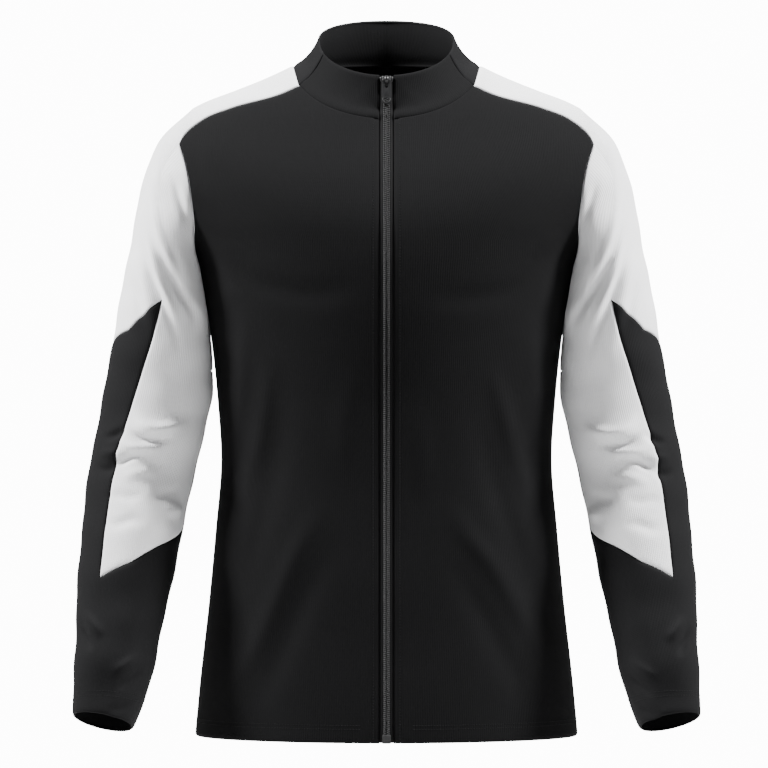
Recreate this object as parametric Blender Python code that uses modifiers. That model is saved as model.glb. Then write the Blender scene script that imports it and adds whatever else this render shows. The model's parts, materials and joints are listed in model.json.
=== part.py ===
"""Stand-collar track jacket with a full front zip, filled out as if worn (metres, +Z up).

The origin lies between the high shoulder points, where the neck meets the shoulders.
The front faces -Y and the wearer's left is +X. Every cloth piece is an open surface,
lofted through sections of the form, with a Solidify wall turned to the inside.
"""
import math

import bmesh
import bpy
import numpy as np
from mathutils import Matrix, Vector

# Cloth and seams
CLOTH = 0.0015             # knitted polyester, one layer
COLLAR_CLOTH = 0.003       # the stand collar is two layers
SEAM_TRIM = 0.0003         # each sewn edge stands back by this much
SEAM_STRIP = 0.04          # narrow first and last row beside a seam, as a share of the run

# Overall sizes
HEM_Z = -0.698
UNDERARM_Z = -0.190
NECK_SIDE_Z = 0.005
NECK_FRONT_Z = -0.0551
NECK_BACK_Z = 0.0106
NECK_HALF_WIDTH = 0.098
ZIP_OPENING = 0.0075       # half the width between the two front edges
BODY_TO_SLEEVE = 0.0045    # air between the body and a hanging sleeve

# Stations shared by the pieces that are sewn together
NECK_SHARE = 0.45          # share of a panel's width that ends in the neckline
ARM_CELLS = 5
NECK_CELLS = 4
SHOULDER_CELLS = 5
CROWN_CELLS = 5
LOWER_ROWS = 15


def table(columns, rows):
    """Turn rows of numbers into one array for each named column."""
    values = np.array(rows, dtype=float)
    return {name: values[:, i] for i, name in enumerate(columns.split())}


# Level sections of body and shoulders: half width, front, side seam and back in y
BODY = table("z half_width front side back", [
    (-0.6980, 0.2010, -0.1250, 0.000, 0.122),
    (-0.6400, 0.1955, -0.1235, 0.000, 0.119),
    (-0.5600, 0.1865, -0.1205, 0.000, 0.112),
    (-0.4800, 0.1790, -0.1170, 0.000, 0.102),
    (-0.4100, 0.1735, -0.1150, 0.000, 0.095),
    (-0.3490, 0.1770, -0.1180, 0.000, 0.098),
    (-0.2900, 0.1830, -0.1255, 0.000, 0.108),
    (-0.2400, 0.1905, -0.1315, 0.000, 0.118),
    (-0.1900, 0.2030, -0.1330, 0.000, 0.125),
    (-0.1600, 0.2230, -0.1290, 0.002, 0.127),
    (-0.1200, 0.2430, -0.1150, 0.004, 0.125),
    (-0.0714, 0.2363, -0.0885, 0.006, 0.115),
    (-0.0462, 0.2132, -0.0735, 0.007, 0.105),
    (-0.0336, 0.1910, -0.0650, 0.007, 0.099),
    (-0.0210, 0.1580, -0.0560, 0.007, 0.092),
    (-0.0084, 0.1265, -0.0490, 0.006, 0.085),
    (0.0042, 0.0998, -0.0420, 0.005, 0.077),
    (0.0200, 0.0720, -0.0340, 0.005, 0.068),
])

# Armhole seam of the front and of the back panel, from the underarm to the saddle
ARMHOLE = table("z x", [
    (-0.1900, 0.2030),
    (-0.1752, 0.2003),
    (-0.1395, 0.2025),
    (-0.0991, 0.2097),
    (-0.0797, 0.2163),
])

# Saddle seams, by their share of the way from the armhole to the neck
FRONT_SADDLE = table("q x z", [
    (0.00, 0.2163, -0.0797),
    (0.10, 0.2105, -0.0683),
    (0.24, 0.1924, -0.0539),
    (0.46, 0.1626, -0.0419),
    (0.80, 0.1149, -0.0289),
    (1.00, 0.0909, -0.0185),
])
BACK_SADDLE = table("q x z", [
    (0.00, 0.2163, -0.0797),
    (0.10, 0.2085, -0.0660),
    (0.26, 0.1880, -0.0500),
    (0.48, 0.1570, -0.0370),
    (0.76, 0.1130, -0.0165),
    (1.00, 0.0750, 0.0080),
])
SADDLE_RIDGE = table("q x", [(0.0, 0.2035), (0.5, 0.1530), (1.0, 0.0980)])

# Sleeve rings from the armhole to the cuff: outermost and innermost point in x and z,
# middle in y, depth before and behind it, and forward tilt of the ring in degrees
SLEEVE = table("s out_x out_z in_x in_z mid_y front back tilt", [
    (0, 0.2035, -0.0405, 0.2030, -0.1900, 0.003, 0.060, 0.066, 0),
    (1, 0.2390, -0.0745, 0.1970, -0.2020, 0.003, 0.066, 0.068, 0),
    (2, 0.2560, -0.1190, 0.1910, -0.2140, 0.003, 0.070, 0.071, 0),
    (3, 0.2645, -0.1590, 0.1865, -0.2290, 0.002, 0.072, 0.072, 0),
    (4, 0.2715, -0.1980, 0.1840, -0.2500, 0.001, 0.072, 0.072, 0),
    (5, 0.2795, -0.2400, 0.1820, -0.2800, 0.000, 0.071, 0.071, 0),
    (6, 0.2882, -0.2880, 0.1815, -0.3100, 0.000, 0.069, 0.070, 0),
    (7, 0.2960, -0.3350, 0.1825, -0.3380, -0.001, 0.066, 0.069, 3),
    (8, 0.3045, -0.3800, 0.1895, -0.3760, -0.005, 0.063, 0.066, 8),
    (9, 0.3112, -0.4200, 0.2035, -0.4340, -0.015, 0.060, 0.062, 15),
    (10, 0.3172, -0.4780, 0.2160, -0.5000, -0.036, 0.056, 0.057, 21),
    (11, 0.3208, -0.5400, 0.2285, -0.5620, -0.060, 0.050, 0.051, 22),
    (12, 0.3215, -0.6040, 0.2405, -0.6240, -0.084, 0.042, 0.043, 21),
    (13, 0.3225, -0.6710, 0.2590, -0.6835, -0.107, 0.031, 0.031, 20),
])
CUFF = 13.0
FRONT_CORNER_ANGLE = 28.0   # where the front saddle seam meets the armhole, 0 is the front

# The dark sleeve piece: angle of its front edge, and the two cross seams, by column
WEDGE_EDGE = table("s angle", [
    (0.00, 28.0), (2.50, 12.0), (4.55, 4.0), (5.60, 10.0), (6.80, 19.0), (8.60, 26.0),
    (11.0, 26.6), (13.0, 27.0),
])
UPPER_SEAM = table("c s", [
    (0.0, 6.20), (0.5, 5.45), (1.0, 4.55), (1.3, 5.50), (1.6, 6.00), (2.0, 6.25),
    (2.5, 6.30), (3.0, 6.20),
])
LOWER_SEAM = table("c s", [
    (0.0, 9.70), (0.4, 10.24), (0.67, 10.65), (1.0, 11.0), (1.5, 11.05), (2.0, 10.90),
    (2.5, 10.30), (3.0, 9.70),
])

# Largest folds of the body: a soft ridge between two points (x, z), its reach and height
BODY_RIDGES = table("x0 z0 x1 z1 reach height", [
    (0.146, -0.245, 0.160, -0.420, 0.022, 0.0030),
    (0.160, -0.420, 0.180, -0.590, 0.026, 0.0030),
    (0.060, -0.445, 0.100, -0.540, 0.022, 0.0025),
    (0.100, -0.540, 0.172, -0.668, 0.026, 0.0030),
])
# Largest folds of the sleeve: centre by ring and angle, reach along and around, height
SLEEVE_RIDGES = table("s angle along around height", [
    (8.30, -20, 0.45, 45, 0.0040),
    (9.15, -15, 0.35, 50, -0.0040),
    (9.90, -35, 0.40, 40, 0.0035),
    (8.60, 165, 1.20, 55, 0.0020),
    (3.20, -25, 1.60, 12, 0.0035),
    (12.2, 10, 0.35, 60, 0.0025),
])

# Stand collar
RIM_HALF_WIDTH = 0.0715
RIM_FRONT = (-0.066, -0.0095)   # y and z at the middle of the front
RIM_BACK = (0.070, 0.0568)
RIM_SIDE = (0.005, 0.0320)
COLLAR_HOLLOW = 0.0038          # how far the flare falls inside a straight line
COLLAR_ROWS = 4

# Zip
TAPE_OUTER = 0.0070
TAPE_INNER = 0.0008
TAPE_RECESS = 0.0008
TAPE_THICKNESS = 0.0010
CHAIN_HALF_WIDTH = 0.0026
CHAIN_PROUD = 0.0012
CHAIN_THICKNESS = 0.0016
ZIP_ROWS = 26
SLIDER_TOP = -0.0105
SLIDER_LENGTH = 0.0120
SLIDER_WIDTH = 0.0092
SLIDER_PROUD = 0.0024
SLIDER_DEPTH = 0.0046
BRIDGE_THICKNESS = 0.0024
BRIDGE_EYE = (0.0026, 0.0034)   # depth and height of the eye that holds the pull
BRIDGE_BAR = 0.0014
HINGE_Z = -0.0150
PULL_WIDTH = 0.0098
PULL_LENGTH = 0.0250
PULL_THICKNESS = 0.0014
PULL_BAR = 0.0016
PULL_EYE = (0.0044, 0.0076)
PULL_HOLE = (0.0062, 0.0044)
TRIM_GAP = 0.0005               # between hard trim and the tape behind it
STOP_SIZE = (0.0022, 0.0024, 0.0052)
BOX_SIZE = (0.0086, 0.0036, 0.0090)


def smooth(xs, ys, x):
    """Cubic through the points (xs, ys), with slopes taken from their neighbours."""
    xs = np.asarray(xs)
    x = float(min(max(x, xs[0]), xs[-1]))
    i = int(min(max(np.searchsorted(xs, x) - 1, 0), len(xs) - 2))
    slopes = np.gradient(ys, xs)
    width = xs[i + 1] - xs[i]
    t = (x - xs[i]) / width
    a, b = ys[i], ys[i + 1]
    da, db = slopes[i] * width, slopes[i + 1] * width
    return a + t * da + t * t * (3 * (b - a) - 2 * da - db) + t * t * t * (2 * (a - b) + da + db)


def read(source, column, x):
    """Read one column of a table at a place along its first column."""
    keys = list(source)
    return smooth(source[keys[0]], source[column], x)


def blend(t):
    """Ease from 0 to 1."""
    t = min(max(t, 0.0), 1.0)
    return t * t * (3 - 2 * t)


def stations(cells):
    """Even steps from 0 to 1, with a narrow step beside each end."""
    even = list(np.linspace(0.0, 1.0, cells + 1))
    return [0.0, SEAM_STRIP] + even[1:-1] + [1.0 - SEAM_STRIP, 1.0]


def shoulder_y(x, z, back=False):
    """Depth of the body's surface at (x, z), on its front or its back."""
    side = read(BODY, "side", z)
    reach = read(BODY, "back" if back else "front", z) - side
    ratio = min(abs(x) / read(BODY, "half_width", z), 1.0)
    return side + reach * math.sqrt(1.0 - ratio * ratio)


def shoulder_z(x, y):
    """Height of the shoulder above the point (x, y), found by halving."""
    low, high = -0.12, 0.02
    for _ in range(40):
        z = (low + high) / 2
        side = read(BODY, "side", z)
        reach = read(BODY, "back" if y > side else "front", z) - side
        outside = (x / read(BODY, "half_width", z)) ** 2 + ((y - side) / reach) ** 2
        low, high = (low, z) if outside > 1.0 else (z, high)
    return z


def ridge_lift(x, z):
    """How far the body's folds lift the cloth at (x, z)."""
    lift = 0.0
    for i in range(len(BODY_RIDGES["x0"])):
        start = np.array([BODY_RIDGES["x0"][i], BODY_RIDGES["z0"][i]])
        end = np.array([BODY_RIDGES["x1"][i], BODY_RIDGES["z1"][i]])
        along = end - start
        share = np.clip(np.dot([x, z] - start, along) / np.dot(along, along), 0.0, 1.0)
        away = np.linalg.norm([x, z] - start - share * along) / BODY_RIDGES["reach"][i]
        lift = max(lift, BODY_RIDGES["height"][i] * math.exp(-away * away))
    return lift


def body_point(x, z, back=False):
    """Point on the body's front or back, with its folds, fading out at the side seam."""
    y = shoulder_y(x, z, back)
    half_width = read(BODY, "half_width", z)
    facing = math.sqrt(max(0.0, 1.0 - (abs(x) / half_width) ** 2))
    lift = ridge_lift(abs(x), z) * min(1.0, 2.0 * facing)
    return Vector((x, y + lift if back else y - lift, z))


def armhole(c, back=False):
    """Point of the armhole seam; c runs from the underarm (0) to the saddle (1)."""
    top_z = ARMHOLE["z"][-1]
    angle = math.radians(-90.0 + (90.0 + FRONT_CORNER_ANGLE) * c)
    share = (1.0 + math.sin(angle)) / (1.0 + math.sin(math.radians(FRONT_CORNER_ANGLE)))
    z = UNDERARM_Z + (top_z - UNDERARM_Z) * share
    x = read(ARMHOLE, "x", z)
    return Vector((x, shoulder_y(x, z, back), z))


def neckline(n, back=False):
    """Point (x, z) of a panel's neckline; n runs from the middle (0) to the saddle (1)."""
    if back:
        x = BACK_SADDLE["x"][-1] * n
        return x, NECK_BACK_Z + (BACK_SADDLE["z"][-1] - NECK_BACK_Z) * n * n
    first = math.asin(ZIP_OPENING / NECK_HALF_WIDTH)
    last = math.asin(FRONT_SADDLE["x"][-1] / NECK_HALF_WIDTH)
    angle = first + (last - first) * n
    x = NECK_HALF_WIDTH * math.sin(angle)
    return x, NECK_SIDE_Z + (NECK_FRONT_Z - NECK_SIDE_Z) * math.cos(angle)


def panel_top(u, back=False):
    """Point (x, z) of a panel's top edge: its neckline, then its saddle seam."""
    if u <= NECK_SHARE:
        return neckline(u / NECK_SHARE, back)
    seam = BACK_SADDLE if back else FRONT_SADDLE
    q = 1.0 - (u - NECK_SHARE) / (1.0 - NECK_SHARE)
    return read(seam, "x", q), read(seam, "z", q)


def panel_point(u, row, back=False):
    """Point of a panel; u runs from the middle to the side, row 0-1 is below the
    underarm and 1-2 lies between the underarm level and the top edge."""
    middle = 0.0 if back else ZIP_OPENING
    level = HEM_Z + (UNDERARM_Z - HEM_Z) * min(row, 1.0)
    half_width = read(BODY, "half_width", level)
    first = math.asin(middle / half_width)
    angle = first + (math.pi / 2 - first) * u
    x = half_width * math.sin(angle)
    if row <= 1.0:
        return body_point(x, level, back)
    w = row - 1.0
    top_x, top_z = panel_top(u, back)
    first_x, first_z = panel_top(0.0, back)
    last_x, last_z = panel_top(1.0, back)
    edge = armhole(w, back)
    middle_z = UNDERARM_Z + (first_z - UNDERARM_Z) * w
    straight_x = (1 - u) * ((1 - w) * middle + w * first_x) \
        + u * ((1 - w) * half_width + w * last_x)
    straight_z = (1 - u) * middle_z + u * ((1 - w) * UNDERARM_Z + w * last_z)
    px = (1 - w) * x + w * top_x + (1 - u) * middle + u * edge.x - straight_x
    pz = (1 - w) * level + w * top_z + (1 - u) * middle_z + u * edge.z - straight_z
    return body_point(px, pz, back)


def saddle_point(q, v):
    """Point of the saddle strip; q runs from armhole to neck, v from front (-1) to
    back (1) over the shoulder's ridge (0)."""
    if abs(v) == 1.0:
        seam = BACK_SADDLE if v > 0 else FRONT_SADDLE
        x, z = read(seam, "x", q), read(seam, "z", q)
        return Vector((x, shoulder_y(x, z, v > 0), z))
    front, rear = saddle_point(q, -1.0), saddle_point(q, 1.0)
    ridge = read(SADDLE_RIDGE, "x", q)
    side = front.x if v < 0 else rear.x
    x = ridge + (side - ridge) * v * v
    y = (front.y + rear.y) / 2 + (rear.y - front.y) / 2 * v
    return Vector((x, y, shoulder_z(x, y)))


def sleeve_ring(s, angle):
    """Point of the bare sleeve tube at ring s; angle 0 is the front, 90 the outside."""
    outer = Vector((read(SLEEVE, "out_x", s), 0.0, read(SLEEVE, "out_z", s)))
    inner = Vector((read(SLEEVE, "in_x", s), 0.0, read(SLEEVE, "in_z", s)))
    middle = (outer + inner) / 2 + Vector((0.0, read(SLEEVE, "mid_y", s), 0.0))
    turn, tilt = math.radians(angle), math.radians(read(SLEEVE, "tilt", s))
    depth = read(SLEEVE, "front" if math.cos(turn) > 0 else "back", s)
    forward = Vector((0.0, -math.cos(tilt), math.sin(tilt))) * depth
    return middle + (outer - inner) / 2 * math.sin(turn) + forward * math.cos(turn)


def sleeve_fold(s, angle):
    """How far the sleeve's folds lift the cloth."""
    lift = 0.0
    for i in range(len(SLEEVE_RIDGES["s"])):
        along = (s - SLEEVE_RIDGES["s"][i]) / SLEEVE_RIDGES["along"][i]
        turn = (angle - SLEEVE_RIDGES["angle"][i]) / SLEEVE_RIDGES["around"][i]
        lift += SLEEVE_RIDGES["height"][i] * math.exp(-along * along - turn * turn)
    return lift


def clear_of_body(point, air):
    """Move a sleeve point sideways until there is this much air to the body."""
    if point.z > ARMHOLE["z"][-1] or point.z < HEM_Z:
        return point
    side = read(BODY, "side", point.z)
    reach = read(BODY, "back" if point.y > side else "front", point.z) - side
    depth = abs(point.y - side) / (abs(reach) + air)
    if depth >= 1.0:
        return point
    edge = (read(BODY, "half_width", point.z) + air) * math.sqrt(1.0 - depth * depth)
    if point.z > UNDERARM_Z:
        edge = min(edge, read(ARMHOLE, "x", point.z) + air)
    return Vector((max(point.x, edge), point.y, point.z))


def sleeve_place(c, row):
    """Ring and angle at column c (0 underarm, 1 front, 2 back, 3 underarm) and row
    (0 armhole, 1 upper seam, 2 lower seam, 3 cuff)."""
    upper = float(np.interp(c, UPPER_SEAM["c"], UPPER_SEAM["s"]))
    lower = float(np.interp(c, LOWER_SEAM["c"], LOWER_SEAM["s"]))
    s = float(np.interp(row, (0, 1, 2, 3), (0.0, upper, lower, CUFF)))
    edge = read(WEDGE_EDGE, "angle", s)
    back_edge = 180.0 - FRONT_CORNER_ANGLE
    return s, float(np.interp(c, (0, 1, 2, 3), (-90.0, edge, back_edge, 270.0)))


def armhole_ring(c):
    """Start of the sleeve on the armhole, standing off a little under the arm."""
    if c <= 1.0:
        start = armhole(c)
    elif c < 2.0:
        return saddle_point(0.0, 2.0 * c - 3.0)
    else:
        start = armhole(3.0 - c, True)
    under = min(c, 3.0 - c)
    return start + Vector((0.0012 * (1.0 - blend(2.0 * under)), 0.0, 0.0))


def sleeve_point(c, row):
    """Point of the sleeve's surface, easing from the armhole into the rings."""
    s, angle = sleeve_place(c, row)
    bare = sleeve_ring(s, angle)
    pull = 1.0 - blend(s / 3.0)
    _, first_angle = sleeve_place(c, 0.0)
    point = bare + (armhole_ring(c) - sleeve_ring(0.0, first_angle)) * pull
    centre = sleeve_ring(s, 90.0) + sleeve_ring(s, -90.0)
    outward = (bare - centre / 2).normalized()
    lift = sleeve_fold(s, angle) + sleeve_fold(s, angle - 360.0)
    point += outward * lift * (1.0 - pull)
    return clear_of_body(point, BODY_TO_SLEEVE * blend(s / 1.2)) if s > 0.0 else point


def rim_point(t):
    """Collar's top edge; t is 0 at the middle of the front and 180 at the back."""
    turn = math.radians(t)
    end = RIM_FRONT if t < 90.0 else RIM_BACK
    share = abs(math.cos(turn))
    rise = share if t < 90.0 else share ** 0.7
    return Vector((RIM_HALF_WIDTH * math.sin(turn),
                   RIM_SIDE[0] + (end[0] - RIM_SIDE[0]) * share,
                   RIM_SIDE[1] + (end[1] - RIM_SIDE[1]) * rise))


def neck_ring(n):
    """Collar seam around the neck: n 0-1 on the front, 1-2 on the saddle, 2-3 on the back."""
    if n <= 1.0:
        x, z = neckline(n)
        return Vector((x, shoulder_y(x, z), z))
    if n < 2.0:
        return saddle_point(1.0, 2.0 * n - 3.0)
    x, z = neckline(3.0 - n, True)
    return Vector((x, shoulder_y(x, z, True), z))


def collar_point(n, h):
    """Point of the collar's outside; h runs from the neck seam to the rim."""
    first = math.degrees(math.asin(ZIP_OPENING / RIM_HALF_WIDTH))
    base = neck_ring(n) + Vector((0.0, 0.0, 2 * SEAM_TRIM))
    rim = rim_point(float(np.interp(n, (0, 1, 2, 3), (first, 68.0, 128.0, 180.0))))
    point = base.lerp(rim, h)
    inward = Vector((-point.x, 0.004 - point.y, 0.0)).normalized()
    sideways = 0.45 + 0.55 * abs(point.x) / NECK_HALF_WIDTH
    point += inward * COLLAR_HOLLOW * 4.0 * h * (1.0 - h) * sideways
    if n == 0.0:
        point.x = ZIP_OPENING
    return point


def front_profile(z):
    """Depth of the outside along the zip, over the body and up the collar."""
    if z <= NECK_FRONT_Z:
        return shoulder_y(ZIP_OPENING, z)
    seam, rim = collar_point(0.0, 0.0), collar_point(0.0, 1.0)
    share = min((z - seam.z) / (rim.z - seam.z), 1.0)
    return collar_point(0.0, max(share, 0.0)).y


def material(name, colour, roughness, metallic=0.0):
    """Principled material with one colour."""
    made = bpy.data.materials.new(name)
    made.use_nodes = True
    shader = made.node_tree.nodes["Principled BSDF"]
    shader.inputs["Base Color"].default_value = (*colour, 1.0)
    shader.inputs["Roughness"].default_value = roughness
    shader.inputs["Metallic"].default_value = metallic
    return made


def add_object(name, mesh, finish, smooth_angle=30.0):
    """Link a mesh to the jacket's collection, shaded smooth up to an angle."""
    mesh.name = name
    mesh.materials.append(finish)
    mesh.shade_smooth()
    mesh.set_sharp_from_angle(angle=math.radians(smooth_angle))
    made = bpy.data.objects.new(name, mesh)
    JACKET.objects.link(made)
    return made


def lay_sheet(bm, grid):
    """Add a loft's quads to a bmesh; grid[i][j] are its points."""
    rows = [[bm.verts.new(point) for point in line] for line in grid]
    for line, following in zip(rows, rows[1:]):
        for j in range(len(line) - 1):
            bm.faces.new((line[j], following[j], following[j + 1], line[j + 1]))


def trim_edges(bm):
    """Stand every free edge of the sheet back by the seam trim."""
    bm.normal_update()
    moves = {}
    for edge in bm.edges:
        if len(edge.link_loops) != 1:
            continue
        loop = edge.link_loops[0]
        along = (loop.link_loop_next.vert.co - loop.vert.co).normalized()
        inward = loop.face.normal.cross(along).normalized() * SEAM_TRIM
        for vert in edge.verts:
            moves.setdefault(vert, []).append(inward)
    for vert, inwards in moves.items():
        step = sum(inwards, Vector())
        vert.co += step if inwards[0].angle(inwards[-1]) > 1.0 else step / len(inwards)


def cloth_piece(name, grids, finish, thickness=CLOTH, mirrored=False):
    """One cut piece: its lofts welded into a sheet, with a wall towards the inside."""
    bm = bmesh.new()
    for grid in grids:
        lay_sheet(bm, grid)
    bmesh.ops.remove_doubles(bm, verts=bm.verts, dist=0.00005)
    trim_edges(bm)
    if mirrored:
        bmesh.ops.transform(bm, matrix=Matrix.Scale(-1.0, 4, (1.0, 0.0, 0.0)), verts=bm.verts)
        bmesh.ops.reverse_faces(bm, faces=bm.faces)
    mesh = bpy.data.meshes.new(name)
    bm.to_mesh(mesh)
    bm.free()
    piece = add_object(name, mesh, finish)
    wall = piece.modifiers.new("Wall", "SOLIDIFY")
    wall.thickness = thickness
    wall.offset = -1.0
    return piece


def panel_grid(back=False):
    """Half of the front or of the back, from the middle to the side."""
    neck = [NECK_SHARE * step for step in np.linspace(0.0, 1.0, NECK_CELLS + 1)]
    shoulder = [1.0 - (1.0 - NECK_SHARE) * q for q in reversed(stations(SHOULDER_CELLS))]
    rows = list(np.linspace(0.0, 1.0, LOWER_ROWS + 1))[:-1]
    rows += [1.0 + step for step in stations(ARM_CELLS)]
    columns = neck + shoulder[1:]
    grid = [[panel_point(u, row, back) for row in rows] for u in columns]
    return grid[::-1] if back else grid


def flipped(grid):
    """Mirror a half over the middle and keep its faces outward."""
    return [[Vector((-p.x, p.y, p.z)) for p in line] for line in reversed(grid)]


def sleeve_grid(columns, rows):
    """Sleeve surface over some of its columns and rows."""
    return [[sleeve_point(c, row) for row in rows] for c in columns]


def run(first, cells):
    """Stations over one unit of a sleeve's columns or rows."""
    return [first + step for step in stations(cells)]


def sleeve_pieces(side, light, dark):
    """White upper sleeve with its saddle, and dark outer and lower sleeve."""
    mirrored = side == "right"
    front, crown, rear = run(0, ARM_CELLS), run(1, CROWN_CELLS), run(2, ARM_CELLS)
    head, middle, forearm = run(0, 6), run(1, 7), run(2, 5)
    around = front + crown[1:] + rear[1:]
    saddle = [[saddle_point(q, 2.0 * c - 3.0) for q in stations(SHOULDER_CELLS)]
              for c in reversed(crown)]
    upper = [line[::-1] for line in sleeve_grid(around, head)]
    tongue = [line[::-1] for line in sleeve_grid(front, middle)]
    wedge = [line[::-1] for line in sleeve_grid(crown + rear[1:], middle)]
    lower = [line[::-1] for line in sleeve_grid(around, forearm)]
    saddle = [line[::-1] for line in saddle]
    cloth_piece("sleeve_upper_" + side, [upper, tongue, saddle], light, mirrored=mirrored)
    cloth_piece("sleeve_lower_" + side, [wedge, lower], dark, mirrored=mirrored)


def collar_grid(first, last, cells):
    """Collar surface between two places around the neck."""
    around = list(np.linspace(first, last, cells + 1))
    rows = list(np.linspace(0.0, 1.0, COLLAR_ROWS + 1))
    return [[collar_point(n, h) for h in rows] for n in around]


def collar_pieces(front_cloth, back_cloth):
    """Two front collar pieces and one that runs round the back."""
    front = collar_grid(0.0, 1.0, NECK_CELLS)
    saddle = [[collar_point(1.0 + step, h) for h in np.linspace(0.0, 1.0, COLLAR_ROWS + 1)]
              for step in stations(CROWN_CELLS)]
    back = saddle + collar_grid(2.0, 3.0, NECK_CELLS)[1:]
    cloth_piece("collar_front_left", [front], front_cloth, COLLAR_CLOTH)
    cloth_piece("collar_front_right", [front], front_cloth, COLLAR_CLOTH, True)
    cloth_piece("collar_back", [back, flipped(back)], back_cloth, COLLAR_CLOTH)


def zip_heights(low, high):
    """Heights at which every strip of the zip has its corners."""
    slider_foot = SLIDER_TOP - SLIDER_LENGTH
    marks = list(np.linspace(HEM_Z, NECK_FRONT_Z, ZIP_ROWS + 1))
    marks += [slider_foot - 0.0225, slider_foot - 0.0100, slider_foot - 0.0020, -0.0170]
    return [low] + [z for z in marks if low + 0.001 < z < high - 0.001] + [high]


def zip_strip(name, low, high, inner, outer, proud, thickness, finish, mirrored=False):
    """Strip along the zip between two heights, standing proud of the fronts' outside."""
    grid = [[Vector((edge(z), front_profile(z) - proud, z)) for z in zip_heights(low, high)]
            for edge in (inner, outer)]
    bm = bmesh.new()
    lay_sheet(bm, grid)
    if mirrored:
        bmesh.ops.transform(bm, matrix=Matrix.Scale(-1.0, 4, (1.0, 0.0, 0.0)), verts=bm.verts)
        bmesh.ops.reverse_faces(bm, faces=bm.faces)
    mesh = bpy.data.meshes.new(name)
    bm.to_mesh(mesh)
    bm.free()
    strip = add_object(name, mesh, finish)
    wall = strip.modifiers.new("Wall", "SOLIDIFY")
    wall.thickness = thickness
    wall.offset = -1.0


def on_front(z, length):
    """Frame on the fronts' outside at a height: local Z follows their slope, -Y faces out."""
    rise = front_profile(z + length / 2) - front_profile(z - length / 2)
    lean = math.atan2(rise, length)
    return Matrix.Translation((0.0, front_profile(z), z)) @ Matrix.Rotation(-lean, 4, "X")


def rounded_block(name, size, place, finish, bevel):
    """Box with rounded edges, placed by a matrix."""
    bm = bmesh.new()
    bmesh.ops.create_cube(bm, size=1.0)
    bmesh.ops.scale(bm, vec=size, verts=bm.verts)
    bmesh.ops.bevel(bm, geom=bm.edges[:], offset=bevel, segments=2, profile=0.5,
                    affect="EDGES", material=-1)
    bmesh.ops.transform(bm, matrix=place, verts=bm.verts)
    mesh = bpy.data.meshes.new(name)
    bm.to_mesh(mesh)
    bm.free()
    return add_object(name, mesh, finish)


def loop_outline(curve, points):
    """Closed polygon in a 2D curve."""
    spline = curve.splines.new("POLY")
    spline.points.add(len(points) - 1)
    for target, (x, y) in zip(spline.points, points):
        target.co = (x, y, 0.0, 1.0)
    spline.use_cyclic_u = True


def oval(centre, half_width, half_height, count=16):
    """Points of an oval, or of a slot when it is longer than it is wide."""
    straight = max(half_height - half_width, 0.0)
    radius_y = min(half_height, half_width)
    points = []
    for i in range(count):
        turn = 2 * math.pi * (i + 0.5) / count
        shift = straight if math.sin(turn) > 0 else -straight
        points.append((centre[0] + half_width * math.cos(turn),
                       centre[1] + shift + radius_y * math.sin(turn)))
    return points


def flat_piece(name, outlines, thickness, matrix, finish):
    """Plate cut from an outline with holes, placed by a matrix."""
    curve = bpy.data.curves.new(name, "CURVE")
    curve.dimensions = "2D"
    curve.fill_mode = "BOTH"
    curve.extrude = thickness / 2
    for outline in outlines:
        loop_outline(curve, outline)
    guide = bpy.data.objects.new(name + "_outline", curve)
    JACKET.objects.link(guide)
    evaluated = guide.evaluated_get(bpy.context.evaluated_depsgraph_get())
    mesh = bpy.data.meshes.new_from_object(evaluated)
    bpy.data.objects.remove(guide)
    bpy.data.curves.remove(curve)
    bm = bmesh.new()
    bm.from_mesh(mesh)
    bmesh.ops.remove_doubles(bm, verts=bm.verts, dist=0.00001)
    bmesh.ops.transform(bm, matrix=matrix, verts=bm.verts)
    bm.to_mesh(mesh)
    bm.free()
    mesh.materials.clear()
    return add_object(name, mesh, finish)


def build_zip(tape_cloth, plastic, metal):
    """Tapes, chain, bottom box, top stops, slider with its bridge, and hinged pull."""
    slider_foot = SLIDER_TOP - SLIDER_LENGTH
    slider_room = SLIDER_WIDTH / 2 + SEAM_TRIM
    tape_top = collar_point(0.0, 1.0).z - 0.0012

    def inner_edge(z):
        share = blend((z - slider_foot + 0.0225) / 0.0200)
        return TAPE_INNER + (slider_room - TAPE_INNER) * share

    for side, sign in (("left", 1.0), ("right", -1.0)):
        zip_strip("zip_tape_" + side, HEM_Z + 0.0005, tape_top, inner_edge, lambda z: TAPE_OUTER,
                  -TAPE_RECESS, TAPE_THICKNESS, tape_cloth, sign < 0)
        beside = (sign * (slider_room + STOP_SIZE[0] / 2),
                  TAPE_RECESS - TRIM_GAP - STOP_SIZE[1] / 2, 0.0)
        place = on_front(tape_top - STOP_SIZE[2] / 2, STOP_SIZE[2]) @ Matrix.Translation(beside)
        rounded_block("zip_stop_" + side, STOP_SIZE, place, metal, 0.0007)
    zip_strip("zip_chain", HEM_Z + BOX_SIZE[2] + SEAM_TRIM, slider_foot - SEAM_TRIM,
              lambda z: -CHAIN_HALF_WIDTH, lambda z: CHAIN_HALF_WIDTH, CHAIN_PROUD,
              CHAIN_THICKNESS, plastic)
    over_tape = Matrix.Translation((0.0, TAPE_RECESS - TRIM_GAP - BOX_SIZE[1] / 2, 0.0))
    box_place = on_front(HEM_Z + BOX_SIZE[2] / 2, BOX_SIZE[2]) @ over_tape
    rounded_block("zip_box", BOX_SIZE, box_place, plastic, 0.0008)
    build_slider(metal)


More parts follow.
